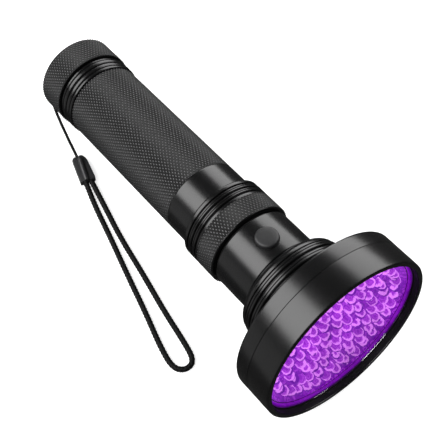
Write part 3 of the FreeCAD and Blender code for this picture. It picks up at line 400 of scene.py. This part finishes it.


# %% [markdown]
# ## Knurling
# A diamond knurl is two families of grooves that cross and leave rows of small pyramids. It needs
# no cutting: on a fine grid of squares, every second corner is a pyramid's tip and the others are
# where grooves cross. So the tips are picked like the black fields of a chessboard and moved
# outwards, each square is split along its groove, and each tip is cut flat, as wear does. The flat
# tips have a lighter finish of their own, a painted highlight that makes every tip shine however
# the light falls. One knurling tool cuts every band, so a pyramid is 3 mm long and 1.9 mm wide on all of
# them.

# %% Knurling tool
KNURL_PITCH = 0.95
KNURL_ROW = 1.52
KNURL_DEPTH = 0.40   # from the flat tips down to the grooves
TIP_CUT = 32         # percent of a pyramid's height that is cut off
BODY, FACETS, TIPS = range(3)   # material slots of a knurled piece


def knurl_steps(radius):
    """An even number of grid columns round a band of this radius."""
    return 2 * round(math.pi * radius / KNURL_PITCH)


def knurl_rows(radius, start, end):
    """Outline corners for a band that will be knurled: one for each row of the grid."""
    count = round((end - start) / KNURL_ROW)
    return [(radius - KNURL_DEPTH, start + (end - start) * row / count) for row in range(count + 1)]


def pick_tips(piece, radius, start, end):
    """Selects every second corner of the knurled band, in rows and in columns."""
    count = round((end - start) / KNURL_ROW)
    deselect()
    bpy.context.view_layer.objects.active = piece
    bpy.ops.object.mode_set(mode="EDIT")
    bpy.ops.mesh.select_mode(type="VERT")
    bpy.ops.mesh.select_all(action="DESELECT")
    bpy.ops.object.mode_set(mode="OBJECT")
    tips = 0
    for vertex in piece.data.vertices:
        place = vertex.co / MM
        row = (place.z - start) / (end - start) * count
        column = math.atan2(place.y, place.x) / math.tau * knurl_steps(radius)
        depth = radius - math.hypot(place.x, place.y)
        on_band = -0.3 < depth < KNURL_DEPTH + 0.01 and -0.1 < row < count + 0.1
        vertex.select = on_band and (round(row) + round(column)) % 2 == 1
        tips += vertex.select
    bpy.ops.object.mode_set(mode="EDIT")
    return tips


def knurl(piece, radius, start, end):
    """Moves every second corner of the band outwards, so that pyramids stand between grooves."""
    while len(piece.material_slots) <= TIPS:
        piece.data.materials.append(None)
    tips = pick_tips(piece, radius, start, end)
    root = radius - KNURL_DEPTH
    growth = 1 + KNURL_DEPTH / (1 - TIP_CUT / 100) / root
    bpy.ops.transform.resize(value=(growth, growth, 1), center_override=(0, 0, 0))
    bpy.ops.mesh.select_more()
    bpy.ops.mesh.quads_convert_to_tris(quad_method="SHORTEST_DIAGONAL", ngon_method="BEAUTY")
    piece.active_material_index = FACETS
    bpy.ops.object.material_slot_assign()
    pick_tips(piece, radius, start, end)
    bpy.ops.mesh.bevel(offset_type="PERCENT", offset_pct=TIP_CUT, affect="VERTICES", segments=1,
                       material=TIPS)
    bpy.ops.object.mode_set(mode="OBJECT")
    print(piece.name, "knurled with", tips, "pyramids,", len(piece.data.polygons), "faces")


# %% [markdown]
# The tail cap is knurled from its end to the dark groove in front of it. Its thread and the
# pocket for the tail contact are inside, and show when the cap is off.

# %% Tail cap
CAP_KNURL = (23.5, 1.3, 18.2)
cap = turned("knurled_tail_cap", [
    (0, 0), (22.2, 0, 0.7), (23.1, 1.1)] + knurl_rows(*CAP_KNURL) + [
    (23.2, 18.35, 0.1), (22.9, 18.5, 0.1), (21.5, 18.5, 0.2), (21.5, 17.2), (20.1, 17.2, 0.3),
    (20.1, 15.4), (20.8, 14.9), (20.8, 14.1),
    (20.1, 13.6), (20.1, 12.9), (20.8, 12.4), (20.8, 11.6), (20.1, 11.1), (20.1, 7.0), (10.5, 7.0, 0.2),
    (10.5, 4.5), (0, 4.5)], knurl_steps(CAP_KNURL[0]))
knurl(cap, *CAP_KNURL)
soften(cap, 42)
lay_down(cap)
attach(cap, "tail_cap")
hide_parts("tail_cap")
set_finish(cap, "black_anodised")

# %% [markdown]
# The grip tube is one turned piece: a thread for the cap, a low ledge, three shiny round ribs, the
# long knurled grip, a plain band, three narrow grooves, and a knurled collar of a larger size. It's
# turned as two rings, because the collar needs more knurl columns than the grip, and then joined.

# %% Grip tube
GRIP_KNURL = (22.1, 30.1, 120.2)
COLLAR_KNURL = (24.7, 149.2, 160.2)


def rib(radius, start, end):
    """A round hump whose flanks meet the tube at 62 degrees."""
    flank, middle = math.radians(62), (start + end) / 2
    curve = (end - start) / 2 / math.sin(flank)
    lean = [flank * (step / 4 - 1) for step in range(9)]
    return [(radius - curve * (1 - math.cos(turn)), middle + curve * math.sin(turn)) for turn in lean]


def ringed(crest, start, end):
    """A band between two grooves, with crisp shoulders and a narrow line round its middle."""
    middle = (start + end) / 2
    return [(crest - 0.35, start), (crest, start + 0.35, 0.12), (crest, middle - 0.30, 0.08),
            (crest - 0.35, middle), (crest, middle + 0.30, 0.08), (crest, end - 0.35, 0.12),
            (crest - 0.35, end)]


collar_outline = [(17.6, 137.5), (23.7, 137.5, 0.2), (24.7, 138.5, 0.6), (24.5, 140.1, 0.1)]
for number in range(3):
    back = 140.2 + 3.1 * number
    collar_outline += [(23.4, back), (23.4, back + 0.9)]
    if number < 2:
        collar_outline += ringed(24.7, back + 0.9, back + 3.1)
collar_outline += [(24.4, 147.35, 0.1), (24.7, 147.8, 0.2), (24.6, 148.9, 0.1)]

tube = turned("knurled_grip_tube", [
    (17.6, 8.0, 0.2), (19.2, 8.0, 0.2), (19.2, 8.4), (19.9, 9.1), (19.9, 9.6), (19.2, 10.4),
    (19.2, 10.9), (19.9, 11.6), (19.9, 12.1), (19.2, 12.9), (19.2, 13.4), (19.9, 14.1), (19.9, 14.6),
    (19.2, 15.4), (19.2, 16.7), (19.5, 16.7), (19.5, 19.3), (22.1, 19.3, 0.1), (22.1, 20.4, 0.1),
    (21.7, 20.6)]
    + rib(22.9, 21.2, 23.9) + [(21.6, 23.9), (21.6, 24.5)] + rib(22.9, 24.5, 27.1)
    + [(21.6, 27.1), (21.6, 27.5)] + rib(22.8, 27.5, 29.4) + [(20.6, 29.4), (20.6, 30.0), (21.5, 30.0)]
    + knurl_rows(*GRIP_KNURL) + [(22.0, 120.6, 0.1), (22.1, 121.0, 0.15), (22.1, 137.5), (17.6, 137.5)],
    knurl_steps(GRIP_KNURL[0]))
collar = turned("knurled_collar", collar_outline + knurl_rows(*COLLAR_KNURL) + [
    (24.3, 160.5, 0.2), (23.8, 160.8, 0.2), (19.8, 160.8, 0.3), (19.8, 141.1), (17.6, 141.1)],
    knurl_steps(COLLAR_KNURL[0]))
deselect()
collar.select_set(True)
tube.select_set(True)
bpy.context.view_layer.objects.active = tube
bpy.ops.object.join()
knurl(tube, *GRIP_KNURL)
knurl(tube, *COLLAR_KNURL)
soften(tube, 42)
lay_down(tube)
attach(tube, "torch")
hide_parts("body_tube")
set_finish(tube, "black_anodised")

# %% [markdown]
# ## Neck and button
# The neck is a plain ring with a round hole for the rubber button. The hole is cut with a
# boolean, as a mill would cut it.

# %% Neck
neck = turned("plain_neck", [
    (17.4, 141.1, 0.2), (19.7, 141.1, 0.2), (19.7, 162.7), (23.2, 162.7, 0.4), (23.2, 186.7, 0.5),
    (21.5, 186.7), (21.5, 195.3, 0.2), (19.6, 195.3, 0.2), (19.6, 163.4), (17.4, 163.4), (17.4, 145.7),
    (15.4, 145.7, 0.2), (15.4, 143.7, 0.2), (17.4, 143.7)], 240)
BUTTON_STATION = 175.7
deselect()
bpy.ops.mesh.primitive_cylinder_add(vertices=96, radius=6.3 * MM, depth=12 * MM,
                                    location=(20 * MM, 0, BUTTON_STATION * MM),
                                    rotation=(0, math.radians(90), 0))
mill = bpy.context.object
deselect()
bpy.context.view_layer.objects.active = neck
hole = neck.modifiers.new("button_hole", "BOOLEAN")
hole.operation, hole.object, hole.solver = "DIFFERENCE", mill, "EXACT"
bpy.ops.object.modifier_apply(modifier=hole.name)
bpy.data.objects.remove(mill)
soften(neck, 30)
lay_down(neck)
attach(neck, "torch")
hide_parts("switch_housing")
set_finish(neck, "black_anodised")
print("neck:", len(neck.data.polygons), "faces")

# %% Button
BUTTON_PLACE = LAID_DOWN @ Matrix.Translation((0, 0, BUTTON_STATION * MM)) @ Matrix.Rotation(
    math.radians(90), 4, "Y")
button = turned("domed_button", [
    (0, 16.8), (7.4, 16.8, 0.2), (7.4, 17.9, 0.2), (6.1, 17.9, 0.2), (6.1, 24.1, 0.5), (5.75, 24.75, 0.4),
    (4.9, 25.15, 0.6), (3.0, 25.38, 0.8), (0, 25.45)], 96)
soften(button, 35)
lay_down(button, BUTTON_PLACE)
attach(button, "button")
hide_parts("button_cap")
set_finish(button, "grey_rubber")

# %% [markdown]
# ## Lamp head
# The head's rear part is one turned piece: a rounded foot, a row of cooling fins with dark slots
# between them, and the wide pan. The bezel screws over the pan, and only a hairline shows where
# they meet.

# %% Fins and pan
FINS = []
for number in range(4):
    band = 194.1 + 4.1 * number
    FINS += [(28.4, band, 0.1)] + ringed(30.3 + 0.5 * number, band, band + 2.8) + [(28.4, band + 2.8, 0.1)]
head = turned("finned_head", [
    (21.6, 188.0), (24.1, 188.0, 0.3), (26.9, 189.0, 0.9), (28.7, 190.4, 0.9), (29.6, 192.0, 0.6),
    (29.8, 193.4, 0.2), (28.4, 193.4, 0.1)] + FINS + [
    (28.4, 210.4, 0.3), (49.0, 210.4, 1.5), (49.0, 218.9, 0.15), (46.1, 218.9), (46.1, 220.9), (46.3, 220.9),
    (46.3, 221.1), (47.0, 221.5), (47.0, 221.8), (46.3, 222.3), (46.3, 222.6), (47.0, 223.0),
    (47.0, 223.3), (46.3, 223.8), (46.3, 224.1), (47.0, 224.5), (47.0, 224.8), (46.3, 225.3),
    (46.3, 226.3, 0.2), (44.0, 226.3, 0.2), (44.0, 214.7), (25.0, 214.7), (25.0, 197.3), (18.1, 197.3),
    (18.1, 195.3), (21.6, 195.3)], 256)
soften(head, 25)
lay_down(head)
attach(head, "torch")
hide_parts("head_shell")
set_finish(head, "black_anodised")

# %% Bezel
bezel = turned("turned_bezel", [
    (47.2, 219.1), (49.0, 219.1, 0.15), (49.0, 233.6, 1.2), (46.2, 233.6, 0.3), (46.2, 229.6), (47.2, 229.6)],
    256)
soften(bezel, 25)
lay_down(bezel)
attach(bezel, "bezel")
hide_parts("bezel_ring")
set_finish(bezel, "black_anodised")

# %% [markdown]
# The bezel's bore has a matte black lining, so that the lamps' light and the room's don't shine in
# it.

# %% Lining of the bezel's bore
lining = turned("matte_bore_lining", [(45.5, 229.7), (46.19, 229.7), (46.19, 233.2), (46.0, 233.2),
                                     (46.0, 230.1), (45.5, 230.0)], 256)
soften(lining, 25)
lay_down(lining)
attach(lining, "bezel")
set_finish(lining, "black_seal")

# %% [markdown]
# Round the lamps, a ring climbs from the reflector plate to the gasket. It is no lamp, yet glows with painted
# violet light that reaches up to the lens, so that the field of lamps seems to end at the bezel.

# %% Ring round the lamps, with a painted violet glow
bowl = turned("painted_glow_bowl_ring", [(41.5, 223.75), (43.9, 223.75), (43.9, 226.25), (43.3, 226.25)], 160)
soften(bowl, 25)
lay_down(bowl)
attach(bowl, "torch")
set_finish(bowl, "violet_plate")

# %% [markdown]
# ## Finishes
# Every finish is made of nodes on Object coordinates, turned into the torch's own frame by a
# Mapping node, so that marks of turning can follow the axis. One maker serves the plain ones: two
# tones mixed by noise, a roughness that varies a little, and a bump. What differs all over a
# surface goes through nodes, and what is the same everywhere is set on the shader itself.

# %% Plain finishes
TORCH_ANGLES = LAID_DOWN.inverted().to_euler()
TORCH_SHIFT = LAID_DOWN.inverted().translation


def start_finish(name):
    """A finish with a shader, and coordinates in the torch's own frame."""
    finish = bpy.data.materials.new(name)
    finish.use_nodes = True
    nodes, links = finish.node_tree.nodes, finish.node_tree.links
    shader = nodes["Principled BSDF"]
    coordinates = nodes.new("ShaderNodeTexCoord")
    mapping = nodes.new("ShaderNodeMapping")
    mapping.inputs["Rotation"].default_value = TORCH_ANGLES
    mapping.inputs["Location"].default_value = TORCH_SHIFT
    links.new(coordinates.outputs["Object"], mapping.inputs["Vector"])
    return finish, nodes, links, shader, mapping


def noise(nodes, links, place, scale, detail=3.0, stretch=(1, 1, 1)):
    squeeze = nodes.new("ShaderNodeMapping")
    squeeze.inputs["Scale"].default_value = stretch
    links.new(place.outputs["Vector"], squeeze.inputs["Vector"])
    grain = nodes.new("ShaderNodeTexNoise")
    grain.inputs["Scale"].default_value = scale
    grain.inputs["Detail"].default_value = detail
    links.new(squeeze.outputs["Vector"], grain.inputs["Vector"])
    return grain


def two_tones(nodes, links, grain, first, second, low=0.35, high=0.65):
    ramp = nodes.new("ShaderNodeValToRGB")
    ramp.color_ramp.elements[0].position, ramp.color_ramp.elements[1].position = low, high
    ramp.color_ramp.elements[0].color = (*first, 1)
    ramp.color_ramp.elements[1].color = (*second, 1)
    links.new(grain.outputs["Fac"], ramp.inputs["Fac"])
    return ramp


def grained(name, first, second, rough, scale=900, bump=0.08, depth=0.03, metal=0.0, stretch=(1, 1, 1),
            specular=0.5):
    finish, nodes, links, shader, mapping = start_finish(name)
    grain = noise(nodes, links, mapping, scale, stretch=stretch)
    tones = two_tones(nodes, links, grain, first, second)
    links.new(tones.outputs["Color"], shader.inputs["Base Color"])
    spread = nodes.new("ShaderNodeMapRange")
    spread.inputs["To Min"].default_value, spread.inputs["To Max"].default_value = rough
    links.new(grain.outputs["Fac"], spread.inputs["Value"])
    links.new(spread.outputs["Result"], shader.inputs["Roughness"])
    relief = nodes.new("ShaderNodeBump")
    relief.inputs["Strength"].default_value = bump
    relief.inputs["Distance"].default_value = depth * MM
    links.new(grain.outputs["Fac"], relief.inputs["Height"])
    links.new(relief.outputs["Normal"], shader.inputs["Normal"])
    shader.inputs["Metallic"].default_value = metal
    shader.inputs["Specular IOR Level"].default_value = specular
    return finish


finishes = {
    "black_anodised": grained("satin_black_anodising", (0.0012, 0.0012, 0.0013), (0.0028, 0.0028, 0.0030),
                              (0.23, 0.27), scale=1700, bump=0.03, depth=0.01, specular=0.56),
    "black_seal": grained("black_seal_rubber", (0.003, 0.003, 0.003), (0.006, 0.006, 0.006), (0.5, 0.7),
                          specular=0.15),
    "grey_rubber": grained("dark_grey_button_rubber", (0.006, 0.006, 0.0065), (0.011, 0.011, 0.0115),
                           (0.42, 0.56), scale=1800, bump=0.12, depth=0.03),
    "contact_brass": grained("brushed_contact_brass", (0.62, 0.43, 0.15), (0.74, 0.55, 0.24), (0.2, 0.38),
                             scale=500, metal=1.0, stretch=(1, 1, 0.15)),
    "bright_steel": grained("bright_spring_steel", (0.52, 0.53, 0.55), (0.68, 0.69, 0.71), (0.16, 0.32),
                            scale=900, metal=1.0),
    "board_green": grained("green_board_lacquer", (0.012, 0.10, 0.035), (0.02, 0.15, 0.055), (0.25, 0.4)),
    "black_plastic": grained("moulded_black_plastic", (0.010, 0.010, 0.011), (0.020, 0.020, 0.021),
                             (0.4, 0.55), scale=700, bump=0.2, depth=0.05),
    "white_plastic": grained("moulded_white_plastic", (0.66, 0.66, 0.63), (0.76, 0.76, 0.74), (0.4, 0.55),
                             scale=700, bump=0.15, depth=0.05),
    "red_insulation": grained("red_wire_insulation", (0.50, 0.015, 0.012), (0.62, 0.03, 0.02), (0.35, 0.5)),
    "black_insulation": grained("black_wire_insulation", (0.008, 0.008, 0.008), (0.02, 0.02, 0.02),
                                (0.35, 0.5)),
    "cell_case": grained("shrunk_cell_sleeve", (0.05, 0.07, 0.09), (0.08, 0.11, 0.14), (0.22, 0.34),
                         scale=260, bump=0.1, depth=0.05, stretch=(1, 1, 0.2)),
    "strap_plastic": grained("moulded_sleeve_plastic", (0.008, 0.008, 0.009), (0.017, 0.017, 0.018),
                             (0.34, 0.48), scale=1400, bump=0.15, depth=0.04),
    "strap_braid": grained("black_nylon_yarn", (0.001, 0.001, 0.001), (0.004, 0.004, 0.0042), (0.45, 0.65),
                           scale=1300, bump=0.5, depth=0.08, specular=0.15),
}
KNURLED = grained("knurled_black_anodising", (0.0020, 0.0020, 0.0021), (0.0050, 0.0050, 0.0052),
                  (0.48, 0.56), scale=1500, bump=0.10, depth=0.02, specular=0.32)
# Painted highlight: the tips' finish is much lighter than the facets', so every tip shines.
KNURL_TIP_HIGHLIGHT = grained("painted_highlight_knurl_tips", (0.040, 0.040, 0.041), (0.075, 0.075, 0.077),
                     (0.36, 0.44), scale=1500, bump=0.10, depth=0.02, specular=0.6)
print("plain finishes:", ", ".join(sorted(finishes)))

# %% [markdown]
# The lamps glow. On each dome a bright crescent on the far side from the viewer is a painted
# highlight, and its dark outline is painted shade. Where a point of the dome lies
# between its middle and its outline follows from its normal, so two dot products with fixed
# directions draw the crescent, and noise makes every lamp a little different. Between the lamps the
# plate, no lamp itself, glows with painted reflections of their light in arcs, which distances to
# scattered points draw. All of it is painted brighter towards the button's side, and in soft patches.


# %% Lamps, plate and lens
TO_VIEWER = -LOOK
VIEW_UP = RIGHT.cross(LOOK)


def math_node(nodes, links, operation, *values):
    """A math node whose inputs are numbers or outputs of other nodes."""
    node = nodes.new("ShaderNodeMath")
    node.operation = operation
    for socket, value in zip(node.inputs, values):
        if isinstance(value, (int, float)):
            socket.default_value = value
        else:
            links.new(value, socket)
    return node.outputs["Value"]


def facing(nodes, links, direction):
    """How far the surface faces along a direction of the object's own space."""
    dot = nodes.new("ShaderNodeVectorMath")
    dot.operation = "DOT_PRODUCT"
    dot.inputs[1].default_value = direction
    links.new(nodes["Texture Coordinate"].outputs["Normal"], dot.inputs[0])
    return dot.outputs["Value"]


def glow(name, stops, measure):
    """A finish whose emission follows a ramp; measure gives the ramp's input."""
    finish, nodes, links, shader, mapping = start_finish(name)
    ramp = nodes.new("ShaderNodeValToRGB")
    while len(ramp.color_ramp.elements) < len(stops):
        ramp.color_ramp.elements.new(0.5)
    for element, (position, tone) in zip(ramp.color_ramp.elements, stops):
        element.position, element.color = position, (*tone, 1)
    links.new(measure(nodes, links, mapping), ramp.inputs["Fac"])
    place = nodes.new("ShaderNodeSeparateXYZ")
    links.new(mapping.outputs["Vector"], place.inputs["Vector"])
    # Painted light: the glow grows brighter towards the button's side.
    painted_brightening = math_node(nodes, links, "MULTIPLY_ADD", place.outputs["X"], 5.0, 0.95)
    patches = noise(nodes, links, mapping, 70, detail=0.0).outputs["Fac"]
    brighter = nodes.new("ShaderNodeVectorMath")
    brighter.operation = "SCALE"
    links.new(ramp.outputs["Color"], brighter.inputs[0])
    links.new(math_node(nodes, links, "MULTIPLY_ADD", patches, 0.8, painted_brightening), brighter.inputs["Scale"])
    links.new(brighter.outputs["Vector"], shader.inputs["Emission Color"])
    shader.inputs["Emission Strength"].default_value = 1.0
    shader.inputs["Base Color"].default_value = (0.01, 0.002, 0.02, 1)
    shader.inputs["Roughness"].default_value = 0.3
    shader.inputs["Specular IOR Level"].default_value = 0.05
    return finish


def crescent(nodes, links, mapping):
    """Distance from a point up and to the left of the dome's middle, stirred by noise; it places the painted
    crescent highlight and dark outline.
    """
    across = math_node(nodes, links, "ADD", facing(nodes, links, RIGHT), 0.24)
    upwards = math_node(nodes, links, "SUBTRACT", facing(nodes, links, VIEW_UP), 0.30)
    squares = math_node(nodes, links, "MULTIPLY_ADD", across, across,
                        math_node(nodes, links, "MULTIPLY", upwards, upwards))
    stir = noise(nodes, links, mapping, 480, detail=1.0).outputs["Fac"]
    reach = math_node(nodes, links, "SQRT", squares)
    broad = noise(nodes, links, mapping, 120, detail=0.0).outputs["Fac"]
    stirred = math_node(nodes, links, "MULTIPLY_ADD", stir, 1.0,
                        math_node(nodes, links, "SUBTRACT", reach, 1.2))
    return math_node(nodes, links, "MULTIPLY",
                     math_node(nodes, links, "MULTIPLY_ADD", broad, 1.5, stirred), 0.7)


# The lens gasket is no lamp: its violet glow is painted light, fading outwards from here.
GASKET_INSIDE, GASKET_FADE = 43.3, 3.2   # where the glow begins to fade, and how far it reaches, in mm


def outwards(nodes, links, mapping):
    """From 0 at the gasket's inner edge to 1 beyond its outer edge, stirred by noise."""
    radius = nodes.new("ShaderNodeVectorMath")
    radius.operation = "LENGTH"
    flat = nodes.new("ShaderNodeVectorMath")
    flat.operation = "MULTIPLY"
    flat.inputs[1].default_value = (1, 1, 0)
    links.new(mapping.outputs["Vector"], flat.inputs[0])
    links.new(flat.outputs["Vector"], radius.inputs[0])
    stir = noise(nodes, links, mapping, 420, detail=2.0).outputs["Fac"]
    ratio = math_node(nodes, links, "MULTIPLY_ADD", radius.outputs["Value"], 1 / (GASKET_FADE * MM),
                      -GASKET_INSIDE / GASKET_FADE - 0.2)
    return math_node(nodes, links, "MULTIPLY_ADD", stir, 0.4, ratio)


def arcs(nodes, links, mapping):
    """Rings round scattered points, so that only pieces of them stay bright: painted reflections of the
    lamps.
    """
    cells = nodes.new("ShaderNodeTexVoronoi")
    cells.inputs["Scale"].default_value = 330
    links.new(mapping.outputs["Vector"], cells.inputs["Vector"])
    stir = noise(nodes, links, mapping, 420, detail=2.0).outputs["Fac"]
    return math_node(nodes, links, "MULTIPLY_ADD", stir, 0.5,
                     math_node(nodes, links, "SUBTRACT", cells.outputs["Distance"], 0.25))


# PINK is the painted crescent highlight on the lamps; DEEP paints their dark outlines.
DEEP, VIOLET, LILAC, PINK = (0.14, 0.001, 0.36), (0.25, 0.010, 0.50), (0.39, 0.04, 0.67), (0.76, 0.21, 0.98)
finishes["violet_lamp"] = glow("glowing_violet_lamp", [
    (0.0, VIOLET), (0.15, LILAC), (0.28, VIOLET), (0.42, LILAC), (0.55, PINK), (0.76, PINK), (0.86, DEEP)],
    crescent)
# The plate is no lamp: its glow is painted reflected light.
finishes["violet_plate"] = glow("violet_painted_reflection_plate", [
    (0.0, VIOLET), (0.18, DEEP), (0.32, LILAC), (0.44, VIOLET), (0.58, DEEP), (0.85, VIOLET)], arcs)
# Painted light: the gasket glows violet, as if lit by the lamps.
PAINTED_GLOW_SEAL = glow("violet_painted_glow_seal", [
    (0.0, LILAC), (0.25, VIOLET), (0.45, DEEP), (0.75, (0.07, 0.004, 0.15)), (1.0, (0.04, 0.004, 0.09))],
    outwards)

glass, nodes, links, shader, mapping = start_finish("clear_lens_glass")
shader.inputs["Base Color"].default_value = (0.98, 0.97, 1.0, 1)
shader.inputs["Transmission Weight"].default_value = 1.0
shader.inputs["IOR"].default_value = 1.45
shader.inputs["Roughness"].default_value = 0.0
film = noise(nodes, links, mapping, 60)
smear = nodes.new("ShaderNodeBump")
smear.inputs["Strength"].default_value, smear.inputs["Distance"].default_value = 0.02, 0.02 * MM
links.new(film.outputs["Fac"], smear.inputs["Height"])
links.new(smear.outputs["Normal"], shader.inputs["Normal"])
finishes["clear_lens"] = glass

# %% [markdown]
# Each CAD node names a material slot in the record.

# %% Give out the finishes
SLOT_OF = {row["node"]: row["material_slot"] for row in frame["record"]["subparts"]}
for node, piece in frame["nodes"].items():
    piece.data.materials.clear()
    piece.data.materials.append(PAINTED_GLOW_SEAL if node == "lens_gasket" else finishes[SLOT_OF[node]])
new_pieces = [piece for piece in bpy.context.scene.objects if "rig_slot" in piece]
for piece in new_pieces:
    if len(piece.material_slots) > TIPS:
        piece.material_slots[BODY].material = finishes[piece["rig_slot"]]
        piece.material_slots[FACETS].material = KNURLED
        piece.material_slots[TIPS].material = KNURL_TIP_HIGHLIGHT
    else:
        piece.data.materials.clear()
        piece.data.materials.append(finishes[piece["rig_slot"]])
print(len(frame["nodes"]), "CAD nodes and", len(new_pieces), "new pieces have a finish")

# %% [markdown]
# ## Studio
# A plain white floor, and two long soft boxes above the torch, one to each side. A round black
# body shows the boxes as long grey bands, and the gap between them as a dark stripe along its
# top. The boxes' places follow from that: a band on the tube tells which way the light came. The
# floor itself is kept out of reflections, because a white floor would light the flanks too much. A
# dim box below it stands in, and the floor casts no shadow, so that this box can reach the torch.

# %% Floor
deselect()
bpy.ops.mesh.primitive_plane_add(size=12, location=(0, 0, 0))
floor = bpy.context.object
floor.name = "pale_floor"
paper = bpy.data.materials.new("pale_floor_paper")
paper.use_nodes = True
paper.node_tree.nodes["Principled BSDF"].inputs["Base Color"].default_value = (0.55, 0.55, 0.55, 1)
paper.node_tree.nodes["Principled BSDF"].inputs["Emission Color"].default_value = (1, 1, 1, 1)
paper.node_tree.nodes["Principled BSDF"].inputs["Emission Strength"].default_value = 0.75
paper.node_tree.nodes["Principled BSDF"].inputs["Roughness"].default_value = 0.9
paper.node_tree.nodes["Principled BSDF"].inputs["Specular IOR Level"].default_value = 0.1
floor.data.materials.append(paper)
floor.visible_glossy = False
floor.visible_transmission = False
floor.visible_shadow = False
deselect()


# %% Soft boxes
def soft_box(name, turn, distance, width, length, radiance, in_reflections=True):
    """A box that faces the torch, this many degrees round its axis from the button's side."""
    angle = math.radians(turn)
    outward = TOWARDS_BUTTON * math.cos(angle) - ASIDE * math.sin(angle)
    middle = Vector((0.02, 0, 0.04))
    place = middle + outward * distance - AXIS * (distance * 0.56)
    data = bpy.data.lights.new(name, "AREA")
    data.shape, data.size, data.size_y = "RECTANGLE", width, length
    data.energy = radiance * math.pi * width * length
    box = bpy.data.objects.new(name, data)
    bpy.context.scene.collection.objects.link(box)
    box.matrix_world = Matrix.Translation(place) @ Matrix(
        (AXIS.cross(outward), AXIS, outward)).transposed().to_4x4()
    box.visible_glossy = in_reflections
    return box


soft_box("left_box", -39.5, 1.3, 1.02, 2.8, 5.0)
soft_box("right_box", 57.5, 1.3, 0.96, 2.8, 3.8)
soft_box("low_box", -98, 1.0, 0.7, 2.8, 0.36)
soft_box("ceiling_wash", 0, 1.8, 3.0, 3.0, 0.5, in_reflections=False)
world = bpy.data.worlds.new("studio")
bpy.context.scene.world = world
world.use_nodes = True
world.node_tree.nodes["Background"].inputs["Color"].default_value = (0.05, 0.05, 0.05, 1)
world.node_tree.nodes["Background"].inputs["Strength"].default_value = 1.0
bpy.context.scene.view_settings.view_transform = "Standard"
